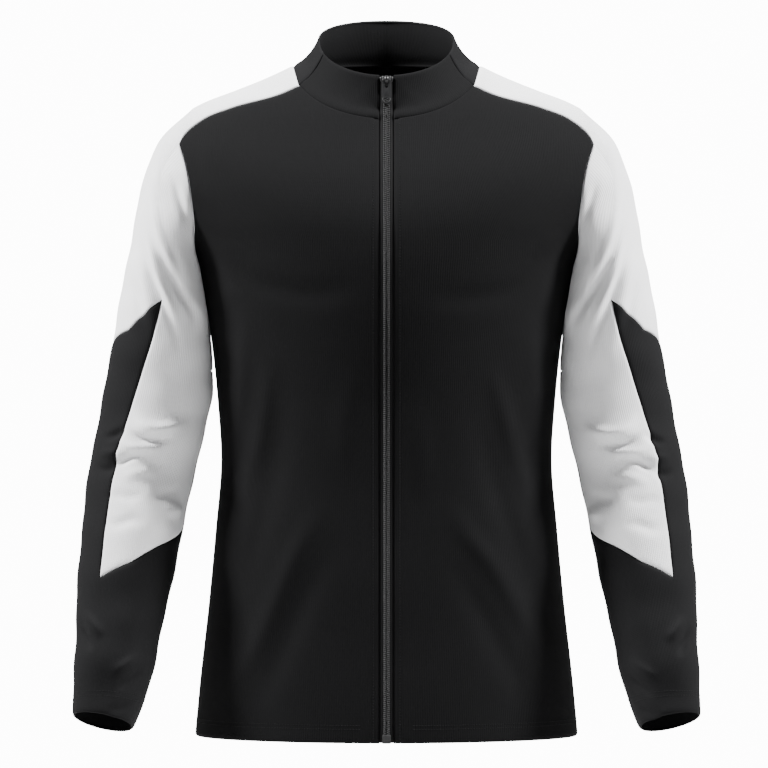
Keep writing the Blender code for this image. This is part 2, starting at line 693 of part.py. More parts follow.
def build_slider(metal):
    """Slider body with the bridge that holds the pull, leaning with the collar's front."""
    slider_z = SLIDER_TOP - SLIDER_LENGTH / 2
    place = on_front(slider_z, SLIDER_LENGTH)
    centre = Matrix.Translation((0.0, SLIDER_DEPTH / 2 - SLIDER_PROUD, 0.0))
    body = rounded_block("zip_slider", (SLIDER_WIDTH, SLIDER_DEPTH, SLIDER_LENGTH),
                         place @ centre, metal, 0.0009)

    eye_depth, eye_height = BRIDGE_EYE
    half_height = eye_height / 2 + BRIDGE_BAR
    front = eye_depth + BRIDGE_BAR
    root = -0.0010
    corner = 0.0012
    outline = [(root, -half_height), (front - corner, -half_height),
               (front, corner - half_height), (front, half_height - corner),
               (front - corner, half_height), (root, half_height)]
    eye = oval((eye_depth / 2, 0.0), eye_depth / 2, eye_height / 2)
    # the bridge's plate is drawn as (outward, up) and stood in the slider's middle plane
    hinge_height = HINGE_Z - slider_z
    stand = Matrix(((0, 0, 1, 0), (-1, 0, 0, -SLIDER_PROUD), (0, 1, 0, hinge_height),
                    (0, 0, 0, 1)))
    bridge = flat_piece("zip_bridge", [outline, eye], BRIDGE_THICKNESS, place @ stand, metal)
    CUTTERS.objects.link(bridge)
    JACKET.objects.unlink(bridge)
    bridge.hide_render = True
    bridge.display_type = "WIRE"
    joined = body.modifiers.new("Bridge", "BOOLEAN")
    joined.operation = "UNION"
    joined.object = bridge
    build_pull(place @ Vector((0.0, -SLIDER_PROUD - eye_depth / 2, hinge_height)), metal)


def resting_angle(hinge):
    """Angle from the vertical at which the hanging pull comes to rest on the chain."""
    steepest = 0.0
    for z in np.linspace(SLIDER_TOP - SLIDER_LENGTH, hinge.z - PULL_LENGTH, 12):
        out = hinge.y - (front_profile(z) - CHAIN_PROUD)
        down = hinge.z - z
        margin = math.asin((PULL_THICKNESS / 2 + SEAM_TRIM) / math.hypot(out, down))
        steepest = max(steepest, math.atan2(out, down) + margin)
    return steepest


def build_pull(hinge, metal):
    """Flat pull with an eye round the bridge and a hole at its foot, hung on its hinge."""
    half = PULL_WIDTH / 2
    top = PULL_BAR / 2
    foot = top - PULL_LENGTH
    outline = [(half - 0.0016, top), (half - 0.0004, top - 0.0016), (half, top - 0.0034)]
    corner = 0.0042
    for i in range(7):
        turn = math.radians(-90.0 * i / 6)
        outline.append((half - corner + corner * math.cos(turn),
                        foot + corner + corner * math.sin(turn)))
    outline += [(-x, y) for x, y in reversed(outline)]
    eye = oval((0.0, -top - PULL_EYE[1] / 2), PULL_EYE[0] / 2, PULL_EYE[1] / 2)
    hole = oval((0.0, foot + 0.0042), PULL_HOLE[0] / 2, PULL_HOLE[1] / 2)
    upright = Matrix.Rotation(math.radians(90.0), 4, "X")
    pull = flat_piece("zip_pull", [outline, eye, hole], PULL_THICKNESS, upright, metal)
    pull.location = hinge
    pull.rotation_euler = (-resting_angle(hinge), 0.0, 0.0)


def new_collection(name):
    made = bpy.data.collections.new(name)
    bpy.context.scene.collection.children.link(made)
    return made


for old in list(bpy.data.objects):
    bpy.data.objects.remove(old)
JACKET = new_collection("track_jacket")
CUTTERS = new_collection("track_jacket_cutters")

black = material("black_knit", (0.012, 0.012, 0.013), 0.85)
charcoal = material("charcoal_knit", (0.035, 0.035, 0.037), 0.85)
white = material("white_knit", (0.82, 0.82, 0.83), 0.85)
tape = material("zip_tape", (0.035, 0.035, 0.037), 0.80)
coil = material("zip_plastic", (0.045, 0.045, 0.047), 0.45)
enamel = material("zip_metal", (0.060, 0.060, 0.062), 0.35, 0.6)

front_half = panel_grid()
back_half = panel_grid(True)
cloth_piece("front_left", [front_half], black)
cloth_piece("front_right", [front_half], black, mirrored=True)
cloth_piece("back", [back_half, flipped(back_half)], black)
for side_name in ("left", "right"):
    sleeve_pieces(side_name, white, charcoal)
collar_pieces(black, charcoal)
build_zip(tape, coil, enamel)
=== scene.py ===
"""Stand-collar track jacket with a full front zip (metres, +Z up, front towards -Y)."""
import json
import math

import bmesh
import bpy
import numpy as np
from mathutils import Matrix, Vector


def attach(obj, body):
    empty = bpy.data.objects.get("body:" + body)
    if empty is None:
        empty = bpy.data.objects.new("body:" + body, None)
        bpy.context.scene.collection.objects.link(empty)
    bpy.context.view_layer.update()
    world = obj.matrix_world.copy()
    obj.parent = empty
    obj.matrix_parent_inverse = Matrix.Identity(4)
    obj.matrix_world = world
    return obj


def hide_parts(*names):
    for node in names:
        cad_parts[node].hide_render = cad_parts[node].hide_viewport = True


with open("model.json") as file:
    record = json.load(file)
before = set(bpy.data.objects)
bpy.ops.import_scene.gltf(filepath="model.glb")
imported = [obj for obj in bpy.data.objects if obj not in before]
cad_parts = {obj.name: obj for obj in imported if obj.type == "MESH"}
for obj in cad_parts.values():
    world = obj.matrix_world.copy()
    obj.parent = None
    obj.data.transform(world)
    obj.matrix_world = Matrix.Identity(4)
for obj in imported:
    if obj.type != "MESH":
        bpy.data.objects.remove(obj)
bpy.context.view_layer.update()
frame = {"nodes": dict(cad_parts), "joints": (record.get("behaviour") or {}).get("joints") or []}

# ----------------------------------------
# Studio: a pale floor, a bright wall far behind the jacket and a soft lamp high on each
# side. The jacket keeps its height on a wearer, so the floor lies well below.
VIEW_WIDTH = 0.8064
CAMERA_AWAY = 5.0
camera_data = bpy.data.cameras.new("camera")
camera_data.sensor_width = 36.0
camera_data.lens = 36.0 * CAMERA_AWAY / VIEW_WIDTH
camera_data.clip_end = 50.0
camera = bpy.data.objects.new("camera", camera_data)
camera.location = (-0.0026, -CAMERA_AWAY, -0.3297)
camera.rotation_euler = (math.radians(90.0), 0.0, 0.0)
bpy.context.scene.collection.objects.link(camera)
bpy.context.scene.camera = camera


def studio_sheet(name, size, place, turn, colour, glow):
    """Flat sheet of the studio, lit by the lamps and by a glow of its own."""
    bm = bmesh.new()
    bmesh.ops.create_grid(bm, x_segments=1, y_segments=1, size=size / 2)
    mesh = bpy.data.meshes.new(name)
    bm.to_mesh(mesh)
    bm.free()
    sheet = bpy.data.objects.new(name, mesh)
    sheet.location = place
    sheet.rotation_euler = (math.radians(turn), 0.0, 0.0)
    bpy.context.scene.collection.objects.link(sheet)
    paper = bpy.data.materials.new(name)
    paper.use_nodes = True
    shader = paper.node_tree.nodes["Principled BSDF"]
    shader.inputs["Base Color"].default_value = (*colour, 1.0)
    shader.inputs["Roughness"].default_value = 0.9
    shader.inputs["Emission Color"].default_value = (1.0, 1.0, 1.0, 1.0)
    shader.inputs["Emission Strength"].default_value = glow
    mesh.materials.append(paper)


def soft_lamp(name, place, aim, size, power):
    """Square soft box that looks at a point."""
    lamp_data = bpy.data.lights.new(name, "AREA")
    lamp_data.shape = "SQUARE"
    lamp_data.size = size
    lamp_data.energy = power
    lamp = bpy.data.objects.new(name, lamp_data)
    lamp.location = place
    lamp.rotation_euler = (Vector(aim) - Vector(place)).to_track_quat("-Z", "Y").to_euler()
    bpy.context.scene.collection.objects.link(lamp)


FLOOR_Z = -1.35
WALL_GLOW = 13.0
LAMP_POWER = 500.0
LAMP_SIZE = 0.7
LAMP_AIM = (0.0, 0.0, -0.3)
studio_sheet("floor", 12.5, (0.0, 0.0, FLOOR_Z), 0.0, (0.62, 0.62, 0.62), 0.0)
studio_sheet("wall", 4.3, (0.0, 20.0, -0.33), 90.0, (0.9, 0.9, 0.9), WALL_GLOW)
soft_lamp("lamp_left", (-2.6, -0.5, 2.2), LAMP_AIM, LAMP_SIZE, LAMP_POWER)
soft_lamp("lamp_right", (2.6, -0.5, 2.2), LAMP_AIM, LAMP_SIZE, LAMP_POWER)


studio_air = bpy.data.worlds.new("studio_air")
studio_air.use_nodes = True
studio_air.node_tree.nodes["Background"].inputs["Color"].default_value = (1.0, 1.0, 1.0, 1.0)
studio_air.node_tree.nodes["Background"].inputs["Strength"].default_value = 0.22
bpy.context.scene.world = studio_air


# ----------------------------------------
# Fronts: two panels of black double knit, cut with a curved armhole and neck, and sewn to
# the zip tape along a turned edge. The form is the body's level sections, filled out.
CLOTH = 0.0015
HEM_Z = -0.698
UNDERARM_Z = -0.190
NECK_SIDE_Z = 0.005
NECK_FRONT_Z = -0.0551
NECK_BACK_Z = 0.0106
NECK_HALF_WIDTH = 0.098
ZIP_OPENING = 0.0075
NECK_SHARE = 0.45
FRONT_CORNER_ANGLE = 28.0
CELL = 0.0035
EDGE_STEPS = (0.0, 0.0009, 0.0023, 0.0046)
FOLD_GAIN = 1.5
EDGE_TUCK = (0.0019, 0.0008, 0.0002, 0.0)


def table(columns, rows):
    """Turn rows of numbers into one array for each named column."""
    values = np.array(rows, dtype=float)
    return {name: values[:, i] for i, name in enumerate(columns.split())}


def read(source, column, x):
    """Read a column at places along the table's first one, smoothly between its rows."""
    xs, ys = next(iter(source.values())), source[column]
    x = np.clip(x, xs[0], xs[-1])
    i = np.clip(np.searchsorted(xs, x) - 1, 0, len(xs) - 2)
    slopes = np.gradient(ys, xs)
    width = xs[i + 1] - xs[i]
    t = (x - xs[i]) / width
    a, b, da, db = ys[i], ys[i + 1], slopes[i] * width, slopes[i + 1] * width
    return a + t * da + t * t * (3 * (b - a) - 2 * da - db) + t ** 3 * (2 * (a - b) + da + db)


def ease(t):
    """Ease from 0 to 1."""
    t = np.clip(t, 0.0, 1.0)
    return t * t * (3 - 2 * t)


def run(length, cell=CELL):
    """Shares from 0 to 1 along a cut edge, close together beside the seam at each end."""
    edge = [step / length for step in EDGE_STEPS]
    count = max(int(round((1.0 - 2 * edge[-1]) * length / cell)), 1)
    inner = np.linspace(edge[-1], 1.0 - edge[-1], count + 1)
    return np.array(edge[:-1] + list(inner) + [1.0 - step for step in reversed(edge[:-1])])


BODY = table("z half_width front side back", [
    (-0.6980, 0.2010, -0.1250, 0.000, 0.122),
    (-0.6400, 0.1955, -0.1235, 0.000, 0.119),
    (-0.5600, 0.1865, -0.1205, 0.000, 0.112),
    (-0.4800, 0.1790, -0.1170, 0.000, 0.102),
    (-0.4100, 0.1735, -0.1150, 0.000, 0.095),
    (-0.3490, 0.1770, -0.1180, 0.000, 0.098),
    (-0.2900, 0.1830, -0.1255, 0.000, 0.108),
    (-0.2400, 0.1905, -0.1315, 0.000, 0.118),
    (-0.1900, 0.2030, -0.1330, 0.000, 0.125),
    (-0.1600, 0.2230, -0.1290, 0.002, 0.127),
    (-0.1200, 0.2430, -0.1150, 0.004, 0.125),
    (-0.0714, 0.2363, -0.0885, 0.006, 0.115),
    (-0.0462, 0.2132, -0.0735, 0.007, 0.105),
    (-0.0336, 0.1910, -0.0650, 0.007, 0.099),
    (-0.0210, 0.1580, -0.0560, 0.007, 0.092),
    (-0.0084, 0.1265, -0.0490, 0.006, 0.085),
    (0.0042, 0.0998, -0.0420, 0.005, 0.077),
    (0.0200, 0.0720, -0.0340, 0.005, 0.068),
])
ARMHOLE = table("z x", [
    (-0.1900, 0.2030), (-0.1752, 0.2003), (-0.1395, 0.2025), (-0.0991, 0.2097),
    (-0.0797, 0.2163),
])
FRONT_SADDLE = table("q x z", [
    (0.00, 0.2163, -0.0797), (0.10, 0.2105, -0.0683), (0.24, 0.1924, -0.0539),
    (0.46, 0.1626, -0.0419), (0.80, 0.1149, -0.0289), (1.00, 0.0909, -0.0185),
])
BACK_SADDLE = table("q x z", [
    (0.00, 0.2163, -0.0797), (0.10, 0.2085, -0.0660), (0.26, 0.1880, -0.0500),
    (0.48, 0.1570, -0.0370), (0.76, 0.1130, -0.0165), (1.00, 0.0750, 0.0080),
])

# Soft folds that both fronts share, as (height, reach, points in x and z) in millimetres
BODY_FOLDS = [
    (3, 22, [(146, -245), (156, -340), (160, -420)]),
    (3, 26, [(158, -410), (168, -500), (180, -590)]),
]
FRONT_FOLDS_RIGHT = [
    (2.4, 10, [(118, -276), (132, -383), (157, -470)]),
    (-1.6, 12, [(100, -300), (112, -400), (135, -500), (150, -560)]),
    (2.6, 11, [(58, -442), (96, -507), (138, -604), (176, -669)]),
    (-1.8, 13, [(42, -470), (78, -540), (118, -630), (140, -672)]),
    (1.6, 9, [(147, -243), (153, -330), (160, -410)]),
    (1.5, 10, [(160, -410), (170, -490), (181, -561)]),
    (-1.8, 12, [(20, -226), (70, -238), (130, -226), (172, -200)]),
    (-1.2, 8, [(196, -190), (176, -212), (160, -240)]),
    (1.4, 8, [(190, -176), (168, -190), (146, -212)]),
    (1, 12, [(30, -300), (44, -372), (40, -430)]),
]
FRONT_FOLDS_LEFT = [
    (2.4, 10, [(103, -302), (120, -352), (136, -411), (160, -480)]),
    (-1.7, 12, [(86, -330), (108, -420), (142, -520), (156, -566)]),
    (2.6, 11, [(60, -443), (82, -482), (114, -523), (150, -590), (173, -642)]),
    (-1.8, 13, [(50, -490), (92, -556), (128, -624), (150, -668)]),
    (1.5, 9, [(150, -250), (157, -330), (158, -400)]),
    (1.6, 10, [(162, -430), (173, -505), (183, -585)]),
    (-1.8, 12, [(24, -236), (78, -242), (128, -232), (170, -204)]),
    (-1.2, 8, [(197, -188), (180, -208), (166, -236)]),
    (1.3, 8, [(188, -172), (166, -184), (150, -206)]),
    (1, 12, [(26, -330), (36, -400), (30, -452)]),
]


def fold_lift(x, z, folds):
    """How far the folds lift the cloth at (x, z), each one fading out at its two ends. The
    tables of folds are in millimetres, and everything else is in metres."""
    lift = np.zeros_like(x)
    for height, reach, points in folds:
        height, reach = height / 1000, reach / 1000
        spots = table("t x z", [(i, px / 1000, pz / 1000) for i, (px, pz) in enumerate(points)])
        t = np.linspace(0.0, len(points) - 1.0, 8 * (len(points) - 1) + 1)
        px, pz = read(spots, "x", t), read(spots, "z", t)
        near = (x > px.min() - 3 * reach) & (x < px.max() + 3 * reach)
        near &= (z > pz.min() - 3 * reach) & (z < pz.max() + 3 * reach)
        if not near.any():
            continue
        fx, fz = x[near, None] - px[:-1], z[near, None] - pz[:-1]
        dx, dz = np.diff(px), np.diff(pz)
        share = np.clip((fx * dx + fz * dz) / (dx * dx + dz * dz), 0.0, 1.0)
        away = np.hypot(fx - share * dx, fz - share * dz)
        closest = away.argmin(axis=1)
        row = np.arange(len(closest))
        place = (closest + share[row, closest]) / len(dx)
        fade = ease(2.2 * place) * ease(2.2 * (1.0 - place))
        lift[near] += FOLD_GAIN * height * fade * np.exp(-(away[row, closest] / reach) ** 2)
    return lift


def body_y(x, z, back=False):
    """Depth of the body's surface at (x, z), on its front or its back."""
    side = read(BODY, "side", z)
    reach = read(BODY, "back" if back else "front", z) - side
    ratio = np.clip(np.abs(x) / read(BODY, "half_width", z), 0.0, 1.0)
    return side + reach * np.sqrt(1.0 - ratio * ratio)


def on_body(x, z, folds, back=False):
    """Points of the body's cloth with its folds, which die out at side seam and armhole."""
    y = body_y(x, z, back)
    ratio = np.clip(np.abs(x) / read(BODY, "half_width", z), 0.0, 1.0)
    facing = np.sqrt(1.0 - ratio * ratio)
    to_armhole = np.where(z > UNDERARM_Z, read(ARMHOLE, "x", z) - np.abs(x), 1.0)
    to_top = ease((-0.030 - z) / 0.040) if not back else ease((0.012 - z) / 0.060)
    held = np.minimum(1.0, 2.0 * facing) * ease(to_armhole / 0.016 + 0.05) * to_top
    wave = 0.0005 * np.sin(31 * x + 17 * z) + 0.0004 * np.sin(19 * x - 47 * z + 1.3)
    lift = (fold_lift(np.abs(x), z, folds) + wave) * held
    return np.stack([x, y + (lift if back else -lift), z], axis=-1)


def armhole(c, back=False):
    """Armhole seam; c runs from the underarm (0) to the saddle (1)."""
    top_z = ARMHOLE["z"][-1]
    angle = np.radians(-90.0 + (90.0 + FRONT_CORNER_ANGLE) * c)
    share = (1.0 + np.sin(angle)) / (1.0 + math.sin(math.radians(FRONT_CORNER_ANGLE)))
    z = UNDERARM_Z + (top_z - UNDERARM_Z) * share
    x = read(ARMHOLE, "x", z)
    return np.stack([x, body_y(x, z, back), z], axis=-1)


def neckline(n, back=False):
    """Neckline of a panel in x and z; n runs from the middle (0) to the saddle (1)."""
    if back:
        x = BACK_SADDLE["x"][-1] * n
        return x, NECK_BACK_Z + (BACK_SADDLE["z"][-1] - NECK_BACK_Z) * n * n
    first = math.asin(ZIP_OPENING / NECK_HALF_WIDTH)
    last = math.asin(FRONT_SADDLE["x"][-1] / NECK_HALF_WIDTH)
    angle = first + (last - first) * n
    x = NECK_HALF_WIDTH * np.sin(angle)
    return x, NECK_SIDE_Z + (NECK_FRONT_Z - NECK_SIDE_Z) * np.cos(angle)


def panel_top(u, back=False):
    """Top edge of a panel in x and z: its neckline, then its saddle seam."""
    seam = BACK_SADDLE if back else FRONT_SADDLE
    q = 1.0 - (u - NECK_SHARE) / (1.0 - NECK_SHARE)
    neck_x, neck_z = neckline(np.minimum(u / NECK_SHARE, 1.0), back)
    at_neck = u <= NECK_SHARE
    return (np.where(at_neck, neck_x, read(seam, "x", q)),
            np.where(at_neck, neck_z, read(seam, "z", q)))


def panel(u, row, folds, back=False):
    """Points of a panel and their place on the flat cloth; u runs from the middle to the
    side, row 0-1 is below the underarm and 1-2 reaches from there to the top edge."""
    middle = 0.0 if back else ZIP_OPENING
    level = HEM_Z + (UNDERARM_Z - HEM_Z) * np.minimum(row, 1.0)
    half_width = read(BODY, "half_width", level)
    first = np.arcsin(middle / half_width)
    angle = first + (math.pi / 2 - first) * u
    x = half_width * np.sin(angle)
    w = np.maximum(row - 1.0, 0.0)
    top_x, top_z = panel_top(u, back)
    first_x, first_z = panel_top(np.zeros(1), back)
    last_x, last_z = panel_top(np.ones(1), back)
    edge = armhole(w, back)
    middle_z = UNDERARM_Z + (first_z - UNDERARM_Z) * w
    straight_x = (1 - u) * ((1 - w) * middle + w * first_x) \
        + u * ((1 - w) * half_width + w * last_x)
    straight_z = (1 - u) * middle_z + u * ((1 - w) * UNDERARM_Z + w * last_z)
    px = (1 - w) * x + w * top_x + (1 - u) * middle + u * edge[:, 0] - straight_x
    pz = (1 - w) * level + w * top_z + (1 - u) * middle_z + u * edge[:, 2] - straight_z
    x, z = np.where(row <= 1.0, x, px), np.where(row <= 1.0, level, pz)
    grain = np.stack([angle * 0.175, z], axis=-1)
    return on_body(x, z, folds, back), grain


class Reading:
    """A value inside a finish, which can be reckoned with like a number."""

    def __init__(self, finish, socket):
        self.finish, self.socket = finish, socket

    def math(self, operation, first, second=0.0):
        """Add a Math node."""
        return self.finish.node("ShaderNodeMath", {"operation": operation},
                                {0: first, 1: second})

    def __add__(self, other):
        return self.math("ADD", self, other)

    def __sub__(self, other):
        return self.math("SUBTRACT", self, other)

    def __rsub__(self, other):
        return self.math("SUBTRACT", other, self)

    def __mul__(self, other):
        return self.math("MULTIPLY", self, other)

    __radd__ = __add__
    __rmul__ = __mul__

    def sine(self):
        return self.math("SINE", self)

    def size(self):
        return self.math("ABSOLUTE", self)


class Finish:
    """One material with its principled shader."""

    def __init__(self, name, **settings):
        self.material = bpy.data.materials.new(name)
        self.material.use_nodes = True
        self.tree = self.material.node_tree
        self.shader = self.tree.nodes["Principled BSDF"]
        for socket, value in settings.items():
            self.shader.inputs[socket.replace("_", " ")].default_value = value

    def node(self, kind, settings=None, values=None, out=0):
        """Add a node, with its settings first and then its sockets, and read one output."""
        made = self.tree.nodes.new(kind)
        for name, value in (settings or {}).items():
            setattr(made, name, value)
        for name, value in (values or {}).items():
            if isinstance(value, Reading):
                self.tree.links.new(value.socket, made.inputs[name])
            else:
                made.inputs[name].default_value = value
        return Reading(self, made.outputs[out])

    def drive(self, socket, value):
        """Feed one of the shader's sockets."""
        self.tree.links.new(value.socket, self.shader.inputs[socket])

    def grain(self):
        """Place on the flat cloth, across and along its ribs, in metres."""
        uv = self.node("ShaderNodeUVMap", {"uv_map": "grain"})
        parts = self.node("ShaderNodeSeparateXYZ", values={"Vector": uv})
        return parts, Reading(self, parts.socket.node.outputs[1])

    def noise(self, scale, detail=2.0, rough=0.5):
        """Cloudy noise over the piece in its own space, from 0 to 1."""
        place = self.node("ShaderNodeTexCoord", out="Object")
        return self.node("ShaderNodeTexNoise", values={
            "Vector": place, "Scale": scale, "Detail": detail, "Roughness": rough})

    def tint(self, low, high, share):
        """Colour between two others."""
        return self.node("ShaderNodeMix", {"data_type": "RGBA"},
                         {"Factor": share, 6: (*low, 1.0), 7: (*high, 1.0)}, out=2)


def knit(name, dark, light, rib, depth, sheen, lines):
    """Double knit: fine ribs along the cloth, loops across them, and a faint uneven tone."""
    finish = Finish(name, Sheen_Weight=sheen, Sheen_Roughness=0.45, Specular_IOR_Level=0.05)
    across, along = finish.grain()
    ribs = (across * (2 * math.pi / rib)).sine()
    loops = (along * (2 * math.pi / (rib * 0.62)) + ribs * 1.2).sine()
    pile = finish.noise(2600.0, 1.0)
    clouds = finish.noise(34.0, 3.0, 0.55)
    share = clouds * 0.6 + ribs * lines + pile * 0.35 + 0.02
    finish.drive("Base Color", finish.tint(dark, light, share))
    finish.drive("Roughness", clouds * 0.10 + 0.74)
    height = ribs * 0.5 + loops * 0.22 + pile * 0.5
    bump = finish.node("ShaderNodeBump", values={"Strength": 0.55, "Distance": depth,
                                                 "Height": height})
    finish.drive("Normal", bump)
    return finish.material


BLACK_KNIT = knit("black_knit", (0.0037, 0.0037, 0.0039), (0.0058, 0.0058, 0.0062),
                  0.0022, 0.00022, 0.006, 0.10)


def lay_cloth(bm, columns, rows, shape, inside, seams="lrtb", hold=None):
    """Lay a stretch of cloth in a bmesh. columns and rows are its stations, shape gives the
    points and grain, inside is a point behind the cloth. The named edges are tucked in, as
    far as hold lets them at a column and row."""
    count_c = len(columns) - 1
    count_r = len(rows) - 1
    made = bmesh.ops.create_grid(bm, x_segments=count_c, y_segments=count_r, size=1.0)["verts"]
    flat = np.array([vert.co[:2] for vert in made])
    i = np.rint((flat[:, 0] + 1) / 2 * count_c).astype(int)
    j = np.rint((flat[:, 1] + 1) / 2 * count_r).astype(int)
    column, row = np.asarray(columns)[i], np.asarray(rows)[j]
    points, grain = shape(column, row)
    for vert, point in zip(made, points):
        vert.co = point
    faces = {face for vert in made for face in vert.link_faces}
    uv = bm.loops.layers.uv.get("grain") or bm.loops.layers.uv.new("grain")
    places = dict(zip(made, grain))
    outward = 0.0
    for face in faces:
        face.normal_update()
        outward += face.normal.dot(face.calc_center_median() - Vector(inside))
        for loop in face.loops:
            loop[uv].uv = places[loop.vert]
    if outward < 0:
        bmesh.ops.reverse_faces(bm, faces=list(faces))
    steps = len(EDGE_TUCK) - 1
    reach = {"l": i, "r": count_c - i, "b": j, "t": count_r - j}
    from_edge = np.min([np.full(len(made), steps)] + [reach[side] for side in seams], axis=0)
    for vert in made:
        vert.normal_update()
    tuck = np.array(EDGE_TUCK)[from_edge] * (hold(column, row) if hold else 1.0)
    moves = [vert.normal * depth for vert, depth in zip(made, tuck)]
    for vert, move in zip(made, moves):
        vert.co -= move


def finish_cloth(name, bm, finish, node, wall=CLOTH, mirrored=False):
    """Close a piece of cloth: weld its stretches, give it its wall and put it on the frame."""
    bmesh.ops.remove_doubles(bm, verts=bm.verts, dist=0.00002)
    if mirrored:
        bmesh.ops.transform(bm, matrix=Matrix.Scale(-1.0, 4, (1.0, 0.0, 0.0)), verts=bm.verts)
        bmesh.ops.reverse_faces(bm, faces=bm.faces)
    mesh = bpy.data.meshes.new(name)
    bm.to_mesh(mesh)
    bm.free()
    mesh.materials.append(finish)
    mesh.shade_smooth()
    piece = bpy.data.objects.new(name, mesh)
    bpy.context.scene.collection.objects.link(piece)
    if wall:
        solid = piece.modifiers.new("wall", "SOLIDIFY")
        solid.thickness = wall
        solid.offset = -1.0
    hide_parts(node)
    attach(piece, "jacket")
    return piece


def panel_hold(u, row):
    """A panel lies flat under the collar and is tucked in along its other edges."""
    return np.where((row > 1.965) & (u > 0.02) & (u < NECK_SHARE), 0.0, 1.0)


CHEST = (0.0, 0.0, -0.35)
PANEL_WIDTH = 0.290
PANEL_RISE = 0.140
PANEL_COLUMNS = run(PANEL_WIDTH)
PANEL_ROWS = np.concatenate([run(UNDERARM_Z - HEM_Z)[:-4], 1.0 + run(PANEL_RISE)[4:]])
for side, folds in (("left", FRONT_FOLDS_LEFT), ("right", FRONT_FOLDS_RIGHT)):
    bm = bmesh.new()
    lay_cloth(bm, PANEL_COLUMNS, PANEL_ROWS,
              lambda u, row, f=BODY_FOLDS + folds: panel(u, row, f), CHEST, "lrtb",
              panel_hold)
    front = finish_cloth("cloth_front_" + side, bm, BLACK_KNIT, "front_" + side,
                         mirrored=side == "right")


# ----------------------------------------
# Back: one panel of the same black knit without a middle seam, cut wider than the fronts.
# It hangs from the shoulder blades and buckles a little over the waist.
BACK_FOLDS = [
    (2.6, 12, [(30, -300), (78, -352), (120, -410), (148, -455)]),
    (-2, 12, [(20, -335), (66, -385), (108, -448), (138, -505)]),
    (2.2, 12, [(50, -452), (88, -520), (128, -590), (160, -655)]),
    (-1.8, 13, [(34, -480), (70, -556), (108, -630), (128, -670)]),
    (1.8, 10, [(196, -178), (164, -206), (140, -246), (132, -290)]),
    (-1.5, 9, [(190, -200), (166, -232), (154, -275)]),
    (-1.2, 14, [(30, -100), (70, -118), (120, -120), (160, -108)]),
    (1.2, 10, [(160, -330), (166, -420), (172, -520)]),
]
BACK_SHIFT = 12  # millimetres, so that the back's two halves are not mirror images
bm = bmesh.new()
for hand in (1.0, -1.0):
    shift = BACK_SHIFT if hand < 0 else 0
    uneven = [(h * (1.0 + 0.009 * shift), r, [(x + shift, z + 1.6 * shift) for x, z in points])
              for h, r, points in BACK_FOLDS]

    def half_back(u, row):
        points, grain = panel(u, row, BODY_FOLDS[:1] + uneven, True)
        return points * (hand, 1.0, 1.0), grain * (hand, 1.0)

    lay_cloth(bm, PANEL_COLUMNS, PANEL_ROWS, half_back, CHEST, "rtb", panel_hold)
back = finish_cloth("cloth_back", bm, BLACK_KNIT, "back")


# ----------------------------------------
# Sleeves: a white upper sleeve cut in one with the saddle over the shoulder and with a
# tongue down the inside of the arm, and a charcoal piece for the elbow and the forearm.
BODY_TO_SLEEVE = 0.0045
CUFF = 13.0
SADDLE_RIDGE = table("q x", [(0.0, 0.2035), (0.5, 0.1530), (1.0, 0.0980)])
SLEEVE = table("s out_x out_z in_x in_z mid_y front back tilt", [
    (0, 0.2035, -0.0405, 0.2030, -0.1900, 0.003, 0.060, 0.066, 0),
    (1, 0.2390, -0.0745, 0.1970, -0.2020, 0.003, 0.066, 0.068, 0),
    (2, 0.2560, -0.1190, 0.1910, -0.2140, 0.003, 0.070, 0.071, 0),
    (3, 0.2645, -0.1590, 0.1865, -0.2290, 0.002, 0.072, 0.072, 0),
    (4, 0.2715, -0.1980, 0.1840, -0.2500, 0.001, 0.072, 0.072, 0),
    (5, 0.2795, -0.2400, 0.1820, -0.2800, 0.000, 0.071, 0.071, 0),
    (6, 0.2882, -0.2880, 0.1815, -0.3100, 0.000, 0.069, 0.070, 0),
    (7, 0.2960, -0.3350, 0.1825, -0.3380, -0.001, 0.066, 0.069, 3),
    (8, 0.3045, -0.3800, 0.1895, -0.3760, -0.005, 0.063, 0.066, 8),
    (9, 0.3112, -0.4200, 0.2035, -0.4340, -0.015, 0.060, 0.062, 15),
    (10, 0.3172, -0.4780, 0.2160, -0.5000, -0.036, 0.056, 0.057, 21),
    (11, 0.3208, -0.5400, 0.2285, -0.5620, -0.060, 0.050, 0.051, 22),
    (12, 0.3215, -0.6040, 0.2405, -0.6240, -0.084, 0.042, 0.043, 21),
    (13, 0.3225, -0.6710, 0.2590, -0.6835, -0.107, 0.031, 0.031, 20),
])
WEDGE_EDGE = table("s angle", [
    (0.00, 28.0), (2.50, 12.0), (4.55, 4.0), (5.60, 10.0), (6.80, 19.0), (8.60, 26.0),
    (11.0, 26.6), (13.0, 27.0),
])
UPPER_SEAM = table("c s", [
    (0.0, 6.20), (0.5, 5.45), (1.0, 4.55), (1.12, 5.13), (1.24, 5.60), (1.56, 6.00), (2.0, 6.25),
    (2.5, 6.30), (3.0, 6.20),
])
LOWER_SEAM = table("c s", [
    (0.0, 9.70), (0.4, 10.24), (0.67, 10.65), (1.0, 11.0), (1.5, 11.05), (2.0, 10.90),
    (2.5, 10.30), (3.0, 9.70),
])

# Broad swells of the sleeve: centre by ring and angle, reach along and around, height
SLEEVE_SWELLS = table("s angle along around height", [
    (8.30, -20, 0.45, 45, 0.0040), (9.15, -15, 0.35, 50, -0.0040),
    (9.90, -35, 0.40, 40, 0.0035), (8.60, 165, 1.20, 55, 0.0020),
    (3.20, -25, 1.60, 12, 0.0035), (12.2, 10, 0.35, 60, 0.0025),
])

SLEEVE_GAIN = 1.25

